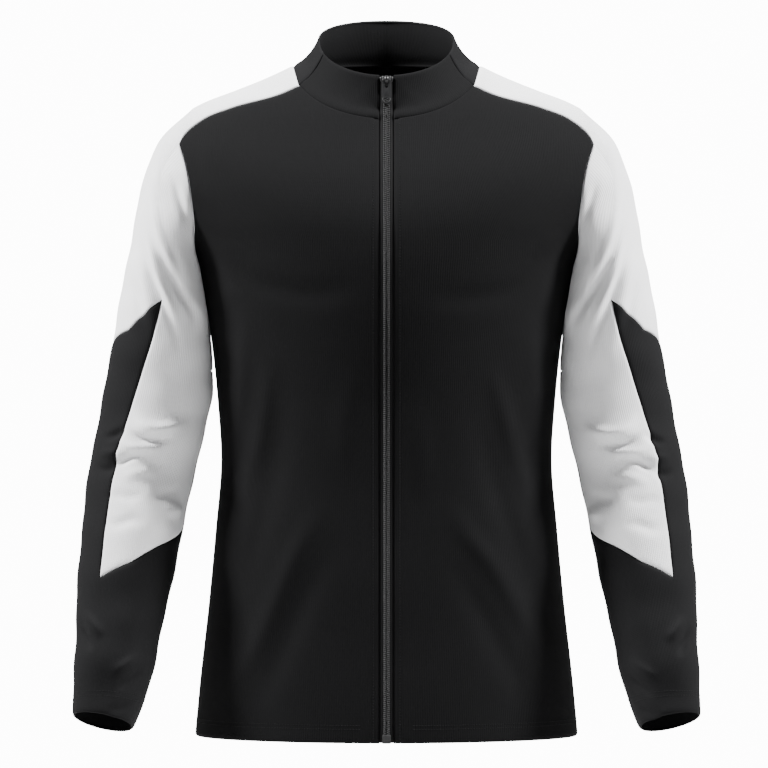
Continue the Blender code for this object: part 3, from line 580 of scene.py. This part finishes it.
# Creases on the front of the sleeve, and on its back, as (height, reach, points in x and z)
SLEEVE_FRONT_FOLDS = [
    (-2.8, 5.2, [(226, -104), (213, -138), (202, -172)]),
    (1.6, 6, [(214, -118), (205, -140), (200, -160)]),
    (3, 4.8, [(247, -112), (242, -150), (234, -183), (225, -203), (216, -222)]),
    (-2.8, 4.6, [(243, -150), (236, -184), (228, -209), (217, -229), (203, -254), (194, -274)]),
    (3, 4.8, [(256, -136), (249, -178), (242, -204), (234, -228), (222, -256), (211, -288)]),
    (-3, 4.5, [(256, -160), (249, -196), (242, -221), (233, -242), (221, -270), (213, -306)]),
    (1.8, 6, [(261, -190), (254, -222), (245, -252), (237, -300)]),
    (-1.4, 4.5, [(266, -214), (258, -244), (250, -276)]),
    (1.6, 7, [(204, -226), (196, -250), (190, -280)]),
    (2.8, 5.5, [(266, -352), (254, -369), (240, -376), (222, -374), (208, -366)]),
    (-3, 4, [(276, -372), (262, -382), (247, -388), (232, -388), (222, -384)]),
    (2.4, 4.2, [(280, -388), (264, -395), (246, -397), (230, -400)]),
    (-2.6, 3.6, [(290, -416), (276, -410), (262, -404), (244, -404)]),
    (2, 6, [(282, -430), (264, -422), (246, -420), (230, -424)]),
    (-1.4, 6, [(246, -440), (236, -444), (222, -442), (211, -434)]),
    (2.6, 7, [(238, -458), (221, -460), (211, -456)]),
    (-1.3, 4.5, [(298, -446), (280, -444), (262, -446), (250, -442)]),
    (-1.4, 5, [(298, -470), (280, -474), (262, -470), (244, -474)]),
    (-2.2, 4.2, [(268, -374), (282, -383), (298, -386)]),
    (2, 4.8, [(272, -398), (286, -402), (300, -398)]),
    (-2, 4.2, [(280, -414), (292, -418), (306, -414)]),
    (-2.2, 4.5, [(319, -570), (310, -589), (300, -606)]),
    (1.8, 5, [(312, -560), (300, -578), (288, -590)]),
    (-2.2, 4.5, [(246, -618), (262, -634), (280, -645)]),
    (1.8, 5, [(252, -604), (268, -618), (284, -628)]),
    (-1.6, 4.5, [(258, -652), (272, -662), (288, -664)]),
]
SLEEVE_BACK_FOLDS = [
    (2.6, 9, [(214, -116), (206, -150), (198, -186)]),
    (-2.8, 7, [(236, -140), (224, -172), (208, -204), (194, -232)]),
    (2.6, 8, [(250, -160), (238, -196), (222, -236), (206, -276)]),
    (-2, 8, [(258, -220), (246, -260), (228, -296)]),
    (2.2, 9, [(290, -330), (262, -352), (228, -362), (200, -356)]),
    (-2.8, 6, [(296, -372), (270, -382), (240, -384), (212, -376)]),
    (2.4, 6.5, [(296, -398), (270, -402), (240, -404)]),
    (-2.4, 6, [(300, -424), (276, -424), (250, -428), (226, -426)]),
    (1.6, 9, [(306, -470), (280, -486), (250, -490)]),
    (-1.6, 8, [(310, -530), (290, -548), (262, -556)]),
    (1.8, 7, [(304, -600), (284, -614), (264, -616)]),
    (-2, 6, [(300, -632), (280, -644), (266, -642)]),
]


def body_top(x, y):
    """Height of the shoulder above (x, y), found by halving."""
    low, high = np.full_like(x, -0.12), np.full_like(x, 0.02)
    for _ in range(36):
        z = (low + high) / 2
        side = read(BODY, "side", z)
        reach = np.where(y > side, read(BODY, "back", z), read(BODY, "front", z)) - side
        outside = (x / read(BODY, "half_width", z)) ** 2 + ((y - side) / reach) ** 2 > 1.0
        high, low = np.where(outside, z, high), np.where(outside, low, z)
    return z


def saddle(q, v):
    """Saddle strip; q runs from armhole to neck, v from its front (-1) to its back (1)."""
    sides = []
    for seam, rear in ((FRONT_SADDLE, False), (BACK_SADDLE, True)):
        x, z = read(seam, "x", q), read(seam, "z", q)
        sides.append((x, body_y(x, z, rear), z))
    ridge = read(SADDLE_RIDGE, "x", q)
    x = ridge + (np.where(v < 0, sides[0][0], sides[1][0]) - ridge) * v * v
    y = (sides[0][1] + sides[1][1]) / 2 + (sides[1][1] - sides[0][1]) / 2 * v
    z = body_top(x, y)
    z = np.where(v <= -1.0, sides[0][2], np.where(v >= 1.0, sides[1][2], z))
    return np.stack([x, y, z], axis=-1)


def ring(s, angle):
    """Bare sleeve tube at ring s; angle 0 is the front and 90 the outside."""
    outer = np.stack([read(SLEEVE, "out_x", s), 0 * s, read(SLEEVE, "out_z", s)], axis=-1)
    inner = np.stack([read(SLEEVE, "in_x", s), 0 * s, read(SLEEVE, "in_z", s)], axis=-1)
    turn, tilt = np.radians(angle), np.radians(read(SLEEVE, "tilt", s))
    depth = np.where(np.cos(turn) > 0, read(SLEEVE, "front", s), read(SLEEVE, "back", s))
    forward = np.stack([0 * s, -np.cos(tilt), np.sin(tilt)], axis=-1) * depth[:, None]
    middle = (outer + inner) / 2
    middle[:, 1] += read(SLEEVE, "mid_y", s)
    return middle + (outer - inner) / 2 * np.sin(turn)[:, None] \
        + forward * np.cos(turn)[:, None], middle


def clear_of_body(points, air):
    """Move sleeve points sideways until there is this much air to the body."""
    x, y, z = points.T
    side = read(BODY, "side", z)
    reach = np.where(y > side, read(BODY, "back", z), read(BODY, "front", z)) - side
    depth = np.abs(y - side) / (np.abs(reach) + air)
    edge = (read(BODY, "half_width", z) + air) * np.sqrt(1.0 - np.minimum(depth, 1.0) ** 2)
    limit = np.minimum(edge, read(ARMHOLE, "x", z) + air)
    edge = np.where(z > UNDERARM_Z, limit, edge)
    free = (z > ARMHOLE["z"][-1]) | (z < HEM_Z) | (depth >= 1.0)
    return np.stack([np.where(free, x, np.maximum(x, edge)), y, z], axis=-1)


def armhole_ring(c):
    """Start of the sleeve on the armhole, standing off a little under the arm."""
    front, rear = armhole(np.minimum(c, 1.0)), armhole(np.minimum(3.0 - c, 1.0), True)
    crown = saddle(np.zeros_like(c), np.clip(2.0 * c - 3.0, -1.0, 1.0))
    start = np.where((c <= 1.0)[:, None], front, np.where((c < 2.0)[:, None], crown, rear))
    start[:, 0] += 0.0012 * (1.0 - ease(2.0 * np.minimum(c, 3.0 - c)))
    return start


def sleeve_place(c, row):
    """Ring and angle at column c (0 underarm, 1 front, 2 back, 3 underarm) and row (0
    armhole, 1 upper seam, 2 lower seam, 3 cuff)."""
    upper = np.interp(c, UPPER_SEAM["c"], UPPER_SEAM["s"])
    lower = np.interp(c, LOWER_SEAM["c"], LOWER_SEAM["s"])
    part = np.clip(row, 0, 1) * upper + np.clip(row - 1, 0, 1) * (lower - upper)
    s = part + np.clip(row - 2, 0, 1) * (CUFF - lower)
    edge = read(WEDGE_EDGE, "angle", s)
    rear = 180.0 - FRONT_CORNER_ANGLE
    angle = -90.0 + (edge + 90.0) * np.clip(c, 0, 1) + (rear - edge) * np.clip(c - 1, 0, 1) \
        + (270.0 - rear) * np.clip(c - 2, 0, 1)
    return s, angle


def sleeve(c, row, hand=0.0):
    """Points of the sleeve and their grain, easing from the armhole into the rings."""
    s, angle = sleeve_place(c, row)
    bare, centre = ring(s, angle)
    pull = 1.0 - ease(s / 3.0)
    first_angle = sleeve_place(c, np.zeros_like(c))[1]
    start = ring(np.zeros_like(s), first_angle)[0]
    points = bare + (armhole_ring(c) - start) * pull[:, None]
    outward = bare - centre
    outward /= np.linalg.norm(outward, axis=1)[:, None]
    lift = np.zeros_like(s)
    for turn in (0.0, 360.0):
        for at, mid, along, around, height in zip(*SLEEVE_SWELLS.values()):
            lift += height * np.exp(-((s - at) / along) ** 2
                                    - ((angle - turn - mid) / around) ** 2)
    lift *= 1.0 - pull
    x, z = points[:, 0] + 0.004 * hand, points[:, 2] + 0.005 * hand
    front = ease(1.5 * np.cos(np.radians(angle)))
    rear = ease(-1.5 * np.cos(np.radians(angle)))
    creases = fold_lift(x, z, SLEEVE_FRONT_FOLDS) * front \
        + fold_lift(x, z, SLEEVE_BACK_FOLDS) * rear
    wave = 0.0005 * np.sin(61 * z + np.radians(angle) * 2) + 0.0004 * np.sin(137 * z - 1.7)
    lift += (SLEEVE_GAIN * creases + wave) * ease(s / 1.1)
    points = points + outward * lift[:, None]
    cleared = clear_of_body(points, BODY_TO_SLEEVE * ease(s / 1.2))
    points = np.where((s > 0.0)[:, None], cleared, points)
    grain = np.stack([angle * 0.00110, s * 0.053], axis=-1)
    return points, grain


WHITE_KNIT = knit("white_knit", (0.70, 0.70, 0.71), (0.84, 0.84, 0.85), 0.0024, 0.00030,
                  0.05, 0.10)
CHARCOAL_KNIT = knit("charcoal_knit", (0.0055, 0.0055, 0.0058), (0.0085, 0.0085, 0.0090),
                     0.0022, 0.00022, 0.010, 0.10)
SLEEVE_CELL = 0.0023
SEAM_FADE = 0.05
SLEEVE_THIRD = 0.155
HEAD_LENGTH = 0.250
ELBOW_LENGTH = 0.225
FOREARM_LENGTH = 0.130
SADDLE_WIDTH = 0.115
GIRTH = run(SLEEVE_THIRD, SLEEVE_CELL)
AROUND_FRONT, AROUND_CROWN, AROUND_REAR = GIRTH, 1.0 + GIRTH, 2.0 + GIRTH
AROUND = np.concatenate([AROUND_FRONT, AROUND_CROWN[1:], AROUND_REAR[1:]])
HEAD_ROWS = run(HEAD_LENGTH, SLEEVE_CELL)
ELBOW_ROWS = 1.0 + run(ELBOW_LENGTH, SLEEVE_CELL)
FOREARM_ROWS = 2.0 + run(FOREARM_LENGTH, SLEEVE_CELL)
ARM_CORE = (0.235, 0.0, -0.25)
ELBOW_CORE = (0.25, 0.0, -0.40)
WRIST_CORE = (0.27, -0.08, -0.60)


def head_hold(c, row):
    """The head is sewn to the body except over the crown, and to the dark piece behind."""
    at_body = ease((np.abs(c - 1.5) - 0.5) / SEAM_FADE)
    return np.where(row < 0.5, at_body, ease((c - 1) / SEAM_FADE) * ease((3 - c) / SEAM_FADE))


def tongue_hold(c, row):
    """The tongue's two long seams start below the head."""
    return ease((row - 1.0) / SEAM_FADE)


def wedge_hold(c, row):
    """The dark elbow's long seams end where the forearm goes on."""
    return ease((2.0 - row) / SEAM_FADE)


def forearm_hold(c, row):
    """The forearm is sewn only to the tongue, and turned up all round at the cuff."""
    return np.where(row < 2.5, ease(c / SEAM_FADE) * ease((1.0 - c) / SEAM_FADE), 1.0)


def saddle_hold(q, c):
    """The saddle's two seams start at the armhole, where it grows out of the head."""
    return ease(q / SEAM_FADE)


for side, hand in (("left", 1.0), ("right", 0.0)):
    arm = lambda c, row, h=hand: sleeve(c, row, h)
    bm = bmesh.new()
    for columns, seams in ((AROUND_FRONT, "b"), (AROUND_CROWN, "t"), (AROUND_REAR, "bt")):
        lay_cloth(bm, columns, HEAD_ROWS, arm, ARM_CORE, seams, head_hold)
    lay_cloth(bm, AROUND_FRONT, ELBOW_ROWS, arm, ELBOW_CORE, "lrt", tongue_hold)
    lay_cloth(bm, run(SADDLE_WIDTH, SLEEVE_CELL), AROUND_CROWN,
              lambda q, c: (saddle(q, 2.0 * c - 3.0),
                            np.stack([c * 0.10, q * 0.12], axis=-1)),
              (0.15, 0.0, -0.20), "rbt", saddle_hold)
    upper = finish_cloth("cloth_sleeve_upper_" + side, bm, WHITE_KNIT,
                         "sleeve_upper_" + side, mirrored=side == "right")
    bm = bmesh.new()
    lay_cloth(bm, np.concatenate([AROUND_CROWN, AROUND_REAR[1:]]), ELBOW_ROWS, arm,
              ELBOW_CORE, "lrb", wedge_hold)
    lay_cloth(bm, AROUND, FOREARM_ROWS, arm, WRIST_CORE, "bt", forearm_hold)
    lower = finish_cloth("cloth_sleeve_lower_" + side, bm, CHARCOAL_KNIT,
                         "sleeve_lower_" + side, mirrored=side == "right")


# ----------------------------------------
# Collar: a stand collar of two layers of knit, black in front and charcoal round the
# back. It rises from the neck seam and flares a little towards its rolled rim.
COLLAR_CLOTH = 0.003
RIM_HALF_WIDTH = 0.0715
RIM_FRONT = (-0.066, -0.0095)
RIM_BACK = (0.070, 0.0568)
RIM_SIDE = (0.005, 0.0320)
COLLAR_HOLLOW = 0.0046
COLLAR_PROUD = (0.0016, 0.11)
COLLAR_OVERLAP = (0.0012, 0.0034)
RIM_TURNS = (math.degrees(math.asin(ZIP_OPENING / RIM_HALF_WIDTH)), 68.0, 128.0, 180.0)


def neck_seam(n):
    """Collar seam around the neck: n 0-1 on the front, 1-2 on the saddle, 2-3 behind."""
    front_x, front_z = neckline(np.minimum(n, 1.0))
    rear_x, rear_z = neckline(np.minimum(3.0 - n, 1.0), True)
    front = np.stack([front_x, body_y(front_x, front_z), front_z], axis=-1)
    rear = np.stack([rear_x, body_y(rear_x, rear_z, True), rear_z], axis=-1)
    top = saddle(np.ones_like(n), np.clip(2.0 * n - 3.0, -1.0, 1.0))
    return np.where((n <= 1.0)[:, None], front, np.where((n < 2.0)[:, None], top, rear))


def collar(n, h):
    """Outside of the collar and its grain; h runs from the neck seam to the rim."""
    base = neck_seam(n)
    base[:, 2] -= COLLAR_OVERLAP[0] + (COLLAR_OVERLAP[1] - COLLAR_OVERLAP[0]) * ease(n - 1.0)
    turn = np.radians(np.interp(n, (0, 1, 2, 3), RIM_TURNS))
    share = np.abs(np.cos(turn))
    ahead = turn < math.pi / 2
    rise = np.where(ahead, share, share ** 0.7)
    rim = np.stack([
        RIM_HALF_WIDTH * np.sin(turn),
        RIM_SIDE[0] + (np.where(ahead, RIM_FRONT[0], RIM_BACK[0]) - RIM_SIDE[0]) * share,
        RIM_SIDE[1] + (np.where(ahead, RIM_FRONT[1], RIM_BACK[1]) - RIM_SIDE[1]) * rise,
    ], axis=-1)
    points = base + (rim - base) * h[:, None]
    inward = np.stack([-points[:, 0], 0.004 - points[:, 1], 0 * n], axis=-1)
    inward /= np.linalg.norm(inward, axis=1)[:, None]
    sideways = 0.45 + 0.55 * np.abs(points[:, 0]) / NECK_HALF_WIDTH
    hollow = COLLAR_HOLLOW * 4.0 * h * (1.0 - h) * sideways
    hollow += 0.0007 * np.sin(5.0 * n + 0.6) * np.sin(math.pi * h)
    hollow -= COLLAR_PROUD[0] * np.exp(-((h - COLLAR_PROUD[1]) / COLLAR_PROUD[1]) ** 2)
    points = points + inward * hollow[:, None]
    points[:, 0] = np.where(n == 0.0, ZIP_OPENING, points[:, 0])
    return points, np.stack([n * 0.09, h * 0.06], axis=-1)


def mirror_left(shape):
    """The same stretch of cloth on the other side of the middle."""
    def mirrored_shape(c, row):
        points, grain = shape(c, row)
        return points * (-1.0, 1.0, 1.0), grain * (-1.0, 1.0)
    return mirrored_shape


NECK = (0.0, 0.004, 0.0)
COLLAR_CELL = 0.003
FRONT_LENGTH = 0.115
SIDE_LENGTH = 0.09
REAR_LENGTH = 0.08
RISE = run(0.055, 0.0025)
for side in ("left", "right"):
    bm = bmesh.new()
    lay_cloth(bm, run(FRONT_LENGTH, COLLAR_CELL), RISE, collar, NECK, "lrbt")
    piece = finish_cloth("cloth_collar_front_" + side, bm, BLACK_KNIT,
                         "collar_front_" + side, COLLAR_CLOTH, side == "right")
bm = bmesh.new()
for shape in (collar, mirror_left(collar)):
    lay_cloth(bm, 1.0 + np.concatenate([run(SIDE_LENGTH, COLLAR_CELL),
                                        1.0 + run(REAR_LENGTH, COLLAR_CELL)[1:]]),
              RISE, shape, NECK, "lbt")
piece = finish_cloth("cloth_collar_back", bm, CHARCOAL_KNIT, "collar_back",
                     COLLAR_CLOTH)


# ----------------------------------------
# Zip tapes: two woven polyester tapes, dyed dark grey, sewn behind the turned edges of
# the fronts and of the collar. Their inner edges carry the coil.
TAPE_STATIONS = np.array([0.0, 0.0030, 0.0052, 0.0058, 0.0064, 0.0078, 0.0105, 0.0125])
TAPE_DEPTHS = np.array([0.0010, 0.0010, 0.0010, 0.0013, 0.0024, 0.0024, 0.0024, 0.0024])
TAPE_THICKNESS = 0.0006
TAPE_TOP = -0.0105


def zip_line():
    """Depth of the outside along the zip, over the fronts and up the collar, by height."""
    rows = np.linspace(0.0, 2.0, 240)
    body = panel(np.zeros_like(rows), rows, BODY_FOLDS + FRONT_FOLDS_LEFT)[0]
    rise = np.linspace(0.1, 1.0, 20)
    neck = collar(np.zeros_like(rise), rise)[0]
    return np.concatenate([body[:, 2], neck[:, 2]]), np.concatenate([body[:, 1], neck[:, 1]])


ZIP_Z, ZIP_Y = zip_line()


def zip_front(z):
    """Depth of the fronts' outside beside the zip at a height."""
    return np.interp(z, ZIP_Z, ZIP_Y)


def woven_tape():
    """Dull woven tape with a fine herringbone."""
    finish = Finish("zip_tape", Specular_IOR_Level=0.08, Sheen_Weight=0.01)
    across, along = finish.grain()
    slant = (across.size() * 5200.0 + along * 5200.0).sine()
    rows = (along * 9000.0).sine()
    lint = finish.noise(1800.0, 1.0)
    finish.drive("Base Color", finish.tint((0.0038, 0.0038, 0.0040), (0.0072, 0.0072, 0.0076),
                                           slant * 0.25 + lint * 0.6 + 0.2))
    finish.drive("Roughness", lint * 0.15 + 0.7)
    bump = finish.node("ShaderNodeBump", values={
        "Strength": 0.5, "Distance": 0.0002, "Height": slant * 0.5 + rows * 0.4 + lint * 0.3})
    finish.drive("Normal", bump)
    return finish.material


TAPE = woven_tape()
for side, hand in (("left", 1.0), ("right", -1.0)):
    bm = bmesh.new()

    def tape(column, z):
        x = np.interp(column, range(len(TAPE_STATIONS)), TAPE_STATIONS)
        behind = np.interp(column, range(len(TAPE_DEPTHS)), TAPE_DEPTHS)
        return (np.stack([hand * x, zip_front(z) + behind, z], axis=-1),
                np.stack([x, z], axis=-1))

    heights = np.linspace(HEM_Z + 0.0006, TAPE_TOP, 300)
    lay_cloth(bm, np.arange(len(TAPE_STATIONS)), heights, tape, CHEST, "")
    piece = finish_cloth("woven_tape_" + side, bm, TAPE, "zip_tape_" + side,
                         TAPE_THICKNESS)


# ----------------------------------------
# Coil: two rows of nylon loops, each loop sewn to its tape, which mesh in the middle.
# The loops are wound from one monofilament, so they lean and overlap like a spring.
COIL_PITCH = 0.0020
COIL_REACH = (-0.0005, 0.0040)
COIL_RADIUS = 0.00068
COIL_LEAN = 14.0
SLIDER_TOP = -0.0105
SLIDER_LENGTH = 0.0120
BOX_HEIGHT = 0.0090


def zip_frame(z, reach=0.004):
    """Frame on the fronts' outside at a height: local Z follows their slope."""
    rise = float(zip_front(z + reach) - zip_front(z - reach))
    lean = Matrix.Rotation(-math.atan2(rise, 2 * reach), 4, "X")
    return Matrix.Translation((0.0, float(zip_front(z)), z)) @ lean


def trim_finish(name, colour, roughness, metallic, wear):
    """Moulded or enamelled trim with faint scuffs."""
    finish = Finish(name, Specular_IOR_Level=0.5, Metallic=metallic)
    cloud = finish.noise(420.0, 3.0, 0.6)
    scuffs = finish.noise(2400.0, 2.0, 0.7)
    light = tuple(min(1.0, c * (1.0 + wear)) for c in colour)
    finish.drive("Base Color", finish.tint(colour, light, scuffs))
    finish.drive("Roughness", cloud * 0.14 + (roughness - 0.07))
    bump = finish.node("ShaderNodeBump", values={"Strength": 0.25, "Distance": 0.0001,
                                                 "Height": scuffs})
    finish.drive("Normal", bump)
    return finish.material


def finish_trim(name, bm, finish, body="jacket", nodes=(), angle=40.0):
    """Put a hard piece of trim on the frame."""
    mesh = bpy.data.meshes.new(name)
    bm.to_mesh(mesh)
    bm.free()
    mesh.materials.append(finish)
    mesh.shade_smooth()
    mesh.set_sharp_from_angle(angle=math.radians(angle))
    piece = bpy.data.objects.new(name, mesh)
    bpy.context.scene.collection.objects.link(piece)
    if nodes:
        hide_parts(*nodes)
    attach(piece, body)
    return piece


NYLON = trim_finish("zip_plastic", (0.006, 0.006, 0.0064), 0.50, 0.0, 0.6)
low = HEM_Z + BOX_HEIGHT - 0.001
high = SLIDER_TOP - SLIDER_LENGTH + 0.003
bm = bmesh.new()
half = (COIL_REACH[1] - COIL_REACH[0]) / 2
for k in range(int((high - low) / COIL_PITCH)):
    for hand in (1.0, -1.0):
        z = low + COIL_PITCH * (k + 0.25 + 0.25 * hand)
        loop = zip_frame(z) @ Matrix.Translation((hand * (COIL_REACH[0] + half), 0.0002, 0.0))
        loop = loop @ Matrix.Rotation(math.radians(COIL_LEAN * hand), 4, "Y")
        loop = loop @ Matrix.Diagonal((half, 0.0011, COIL_RADIUS, 1.0))
        bmesh.ops.create_icosphere(bm, subdivisions=1, radius=1.0, matrix=loop)
finish_trim("zip_coil", bm, NYLON, nodes=["zip_chain"], angle=180.0)
frame["nodes"]["zip_box"].data.materials.clear()
frame["nodes"]["zip_box"].data.materials.append(NYLON)


# ----------------------------------------
# Slider and stops: die-cast zinc in dark enamel. The slider's body narrows to its foot
# and carries a cast loop for the pull; a pressed stop ends each tape at the rim.
SLIDER_SIZE = (0.0094, 0.0046, 0.0120)
SLIDER_PROUD = 0.0024
LOOP_RING = 0.0036
LOOP_WIRE = 0.0009
LOOP_HALF_WIDTH = 0.0018
HINGE = Vector(frame["joints"][0]["pos_m"])
STOP_SIZE = (0.0036, 0.0034, 0.0058)
STOP_APART = 0.0050


def rounded(bm, size, place, bevel, segments=3):
    """Add a block with rounded edges, placed by a matrix, and give back its points."""
    block = bmesh.new()
    bmesh.ops.create_cube(block, size=1.0)
    bmesh.ops.scale(block, vec=size, verts=block.verts)
    bmesh.ops.bevel(block, geom=block.edges[:], offset=bevel, segments=segments, profile=0.5,
                    affect="EDGES", material=-1)
    bmesh.ops.transform(block, matrix=place, verts=block.verts)
    part = bpy.data.meshes.new("part")
    block.to_mesh(part)
    block.free()
    before = set(bm.verts)
    bm.from_mesh(part)
    bpy.data.meshes.remove(part)
    return [vert for vert in bm.verts if vert not in before]


ENAMEL = trim_finish("zip_metal", (0.006, 0.006, 0.0064), 0.36, 0.2, 1.2)
slider_z = SLIDER_TOP - SLIDER_LENGTH / 2
lie = zip_frame(slider_z, SLIDER_LENGTH / 2)
bm = bmesh.new()
body = rounded(bm, SLIDER_SIZE, Matrix.Translation((0.0, SLIDER_SIZE[1] / 2 - SLIDER_PROUD, 0.0)),
               0.0013)
for vert in body:
    vert.co.x *= 0.90 + 0.10 * float(ease(vert.co.z / SLIDER_LENGTH + 0.55))
bmesh.ops.transform(bm, matrix=lie, verts=body)
arch = bmesh.ops.create_circle(bm, segments=10, radius=1.0)["verts"]
bmesh.ops.transform(bm, verts=arch, matrix=Matrix.Diagonal((LOOP_HALF_WIDTH, LOOP_WIRE, 1.0, 1.0)))
face_y = zip_front(HINGE.z) - SLIDER_PROUD + 0.0002
centre = Vector((0.0, float(face_y), HINGE.z))
bmesh.ops.translate(bm, vec=centre, verts=arch)
bmesh.ops.rotate(bm, cent=centre, matrix=Matrix.Rotation(math.radians(90.0), 3, "X"), verts=arch)
bmesh.ops.translate(bm, vec=(0.0, 0.0, LOOP_RING), verts=arch)
rim = list({edge for vert in arch for edge in vert.link_edges})
bmesh.ops.spin(bm, geom=arch + rim, cent=centre, axis=(1.0, 0.0, 0.0), dvec=(0.0, 0.0, 0.0),
               angle=math.radians(180.0), steps=14, use_merge=False)
bmesh.ops.recalc_face_normals(bm, faces=bm.faces)
finish_trim("slider_body", bm, ENAMEL, nodes=["zip_slider"])

bm = bmesh.new()
stop_z = TAPE_TOP - 0.0036
for hand in (1.0, -1.0):
    seat = zip_frame(stop_z, 0.002) @ Matrix.Translation((hand * STOP_APART, -0.0004, 0.0))
    seat = seat @ Matrix.Rotation(math.radians(10.0 * hand), 4, "Y")
    rounded(bm, STOP_SIZE, seat, 0.0015)
finish_trim("tape_stops", bm, ENAMEL, nodes=["zip_stop_left", "zip_stop_right"])


# ----------------------------------------
# Pull: a flat die-cast plate with an eye round the slider's loop and a rimmed hole at its
# foot. Gravity lays it on the coil, and it swings up on the loop.
PULL_STRETCH = 1.10
RIM_RING = (0.0038, 0.0030)
RIM_UP = 0.0046
RIM_WIRE = 0.00088
bm = bmesh.new()
bm.from_mesh(frame["nodes"]["zip_pull"].data)
bmesh.ops.remove_doubles(bm, verts=bm.verts, dist=0.00001)
for vert in bm.verts:
    vert.co.z = HINGE.z + (vert.co.z - HINGE.z) * PULL_STRETCH
corners = [edge for edge in bm.edges if edge.calc_face_angle(0.0) > math.radians(50.0)]
bmesh.ops.bevel(bm, geom=corners, offset=0.00030, segments=2, profile=0.5, affect="EDGES",
                material=-1)
rim_z = min(vert.co.z for vert in bm.verts) + RIM_UP
beside = [vert.co.y for vert in bm.verts if abs(vert.co.z - rim_z) < RIM_RING[1] + RIM_WIRE]
rim_centre = Vector((0.0, sum(beside) / len(beside), rim_z))
lean = math.atan2(rim_centre.y - HINGE.y, HINGE.z - rim_z)
plate = set(bm.verts)
wire = bmesh.ops.create_circle(bm, segments=10, radius=RIM_WIRE,
                               matrix=Matrix.Translation((RIM_RING[1], 0.0, 0.0)))["verts"]
hoop = list({edge for vert in wire for edge in vert.link_edges})
bmesh.ops.spin(bm, geom=wire + hoop, cent=(0.0, 0.0, 0.0), axis=(0.0, 1.0, 0.0),
               dvec=(0.0, 0.0, 0.0), angle=math.radians(360.0), steps=28, use_merge=True)
rim = [vert for vert in bm.verts if vert not in plate]
bmesh.ops.scale(bm, vec=(RIM_RING[0] / RIM_RING[1], 1.0, 1.0), verts=rim)
bmesh.ops.rotate(bm, cent=(0.0, 0.0, 0.0), matrix=Matrix.Rotation(lean, 3, "X"), verts=rim)
bmesh.ops.translate(bm, vec=rim_centre, verts=rim)
bmesh.ops.recalc_face_normals(bm, faces=list({face for vert in rim for face in vert.link_faces}))
finish_trim("pull_plate", bm, ENAMEL, "pull", ["zip_pull"], 30.0)


# ----------------------------------------
# Stitching: polyester thread in the colour of the cloth. Two rows hold the turned hem
# and each cuff, and one runs along both turned edges beside the zip.
STITCH_PITCH = 0.0030
STITCH = (0.00112, 0.00032, 0.00026)
HEM_ROWS = (0.0145, 0.0184)
CUFF_ROWS = (0.0160, 0.0200)
ZIP_STITCH = 0.0062


def thread(name, colour):
    """Twisted thread in the tone of the cloth it lies in."""
    finish = Finish(name, Specular_IOR_Level=0.12, Sheen_Weight=0.01)
    twist = finish.noise(3200.0, 1.0)
    finish.drive("Base Color", finish.tint(colour, tuple(1.7 * c for c in colour), twist))
    finish.drive("Roughness", twist * 0.2 + 0.5)
    return finish.material


def sew(bm, line, inside, lift=0.0001):
    """Lay stitches along a line of points on the outside of the cloth."""
    steps = np.linalg.norm(np.diff(line, axis=0), axis=1)
    run_length = np.concatenate([[0.0], np.cumsum(steps)])
    count = int(run_length[-1] / STITCH_PITCH)
    for k in range(count):
        at = (k + 0.5) * STITCH_PITCH
        spot = Vector([np.interp(at, run_length, line[:, a]) for a in range(3)])
        ahead = Vector([np.interp(at + 0.001, run_length, line[:, a]) for a in range(3)])
        along = (ahead - spot).normalized()
        out = (spot - Vector(inside(spot))).normalized()
        out = (out - along * out.dot(along)).normalized()
        side = out.cross(along)
        turn = Matrix((along, side, out)).transposed().to_4x4()
        seat = Matrix.Translation(spot + out * lift) @ turn @ Matrix.Diagonal((*STITCH, 1.0))
        bmesh.ops.create_icosphere(bm, subdivisions=1, radius=1.0, matrix=seat)


def level_core(spot):
    """Middle of the body at a stitch's height."""
    return (0.0, 0.0, spot.z)


BLACK_THREAD = thread("black_thread", (0.0030, 0.0030, 0.0032))
CHARCOAL_THREAD = thread("charcoal_thread", (0.0050, 0.0050, 0.0053))
bm = bmesh.new()
across = np.linspace(0.062, 1.0, 160)
whole = np.linspace(0.0, 1.0, 170)
for up in HEM_ROWS:
    row = up / (UNDERARM_Z - HEM_Z)
    for hand, folds in ((1.0, FRONT_FOLDS_LEFT), (-1.0, FRONT_FOLDS_RIGHT)):
        line = panel(across, np.full_like(across, row), BODY_FOLDS + folds)[0]
        sew(bm, line * (hand, 1.0, 1.0), level_core)
        line = panel(whole, np.full_like(whole, row), BODY_FOLDS[:1] + BACK_FOLDS, True)[0]
        sew(bm, line * (hand, 1.0, 1.0), level_core)
for hand, folds in ((1.0, FRONT_FOLDS_LEFT), (-1.0, FRONT_FOLDS_RIGHT)):
    z = np.linspace(HEM_Z + 0.003, NECK_FRONT_Z - 0.002, 300)
    x = np.full_like(z, ZIP_OPENING + ZIP_STITCH)
    line = on_body(x, z, BODY_FOLDS + folds)
    sew(bm, line * (hand, 1.0, 1.0), level_core)
finish_trim("black_stitches", bm, BLACK_THREAD, angle=180.0)

bm = bmesh.new()
around = np.linspace(0.0, 3.0, 200)
for hand, uneven in ((1.0, 1.0), (-1.0, 0.0)):
    for up in CUFF_ROWS:
        row = np.full_like(around, 3.0 - up / FOREARM_LENGTH)
        line = sleeve(around, row, uneven)[0]
        core = line.mean(axis=0)
        sew(bm, line * (hand, 1.0, 1.0), lambda spot, m=core * (hand, 1.0, 1.0): m)
finish_trim("charcoal_stitches", bm, CHARCOAL_THREAD, angle=180.0)
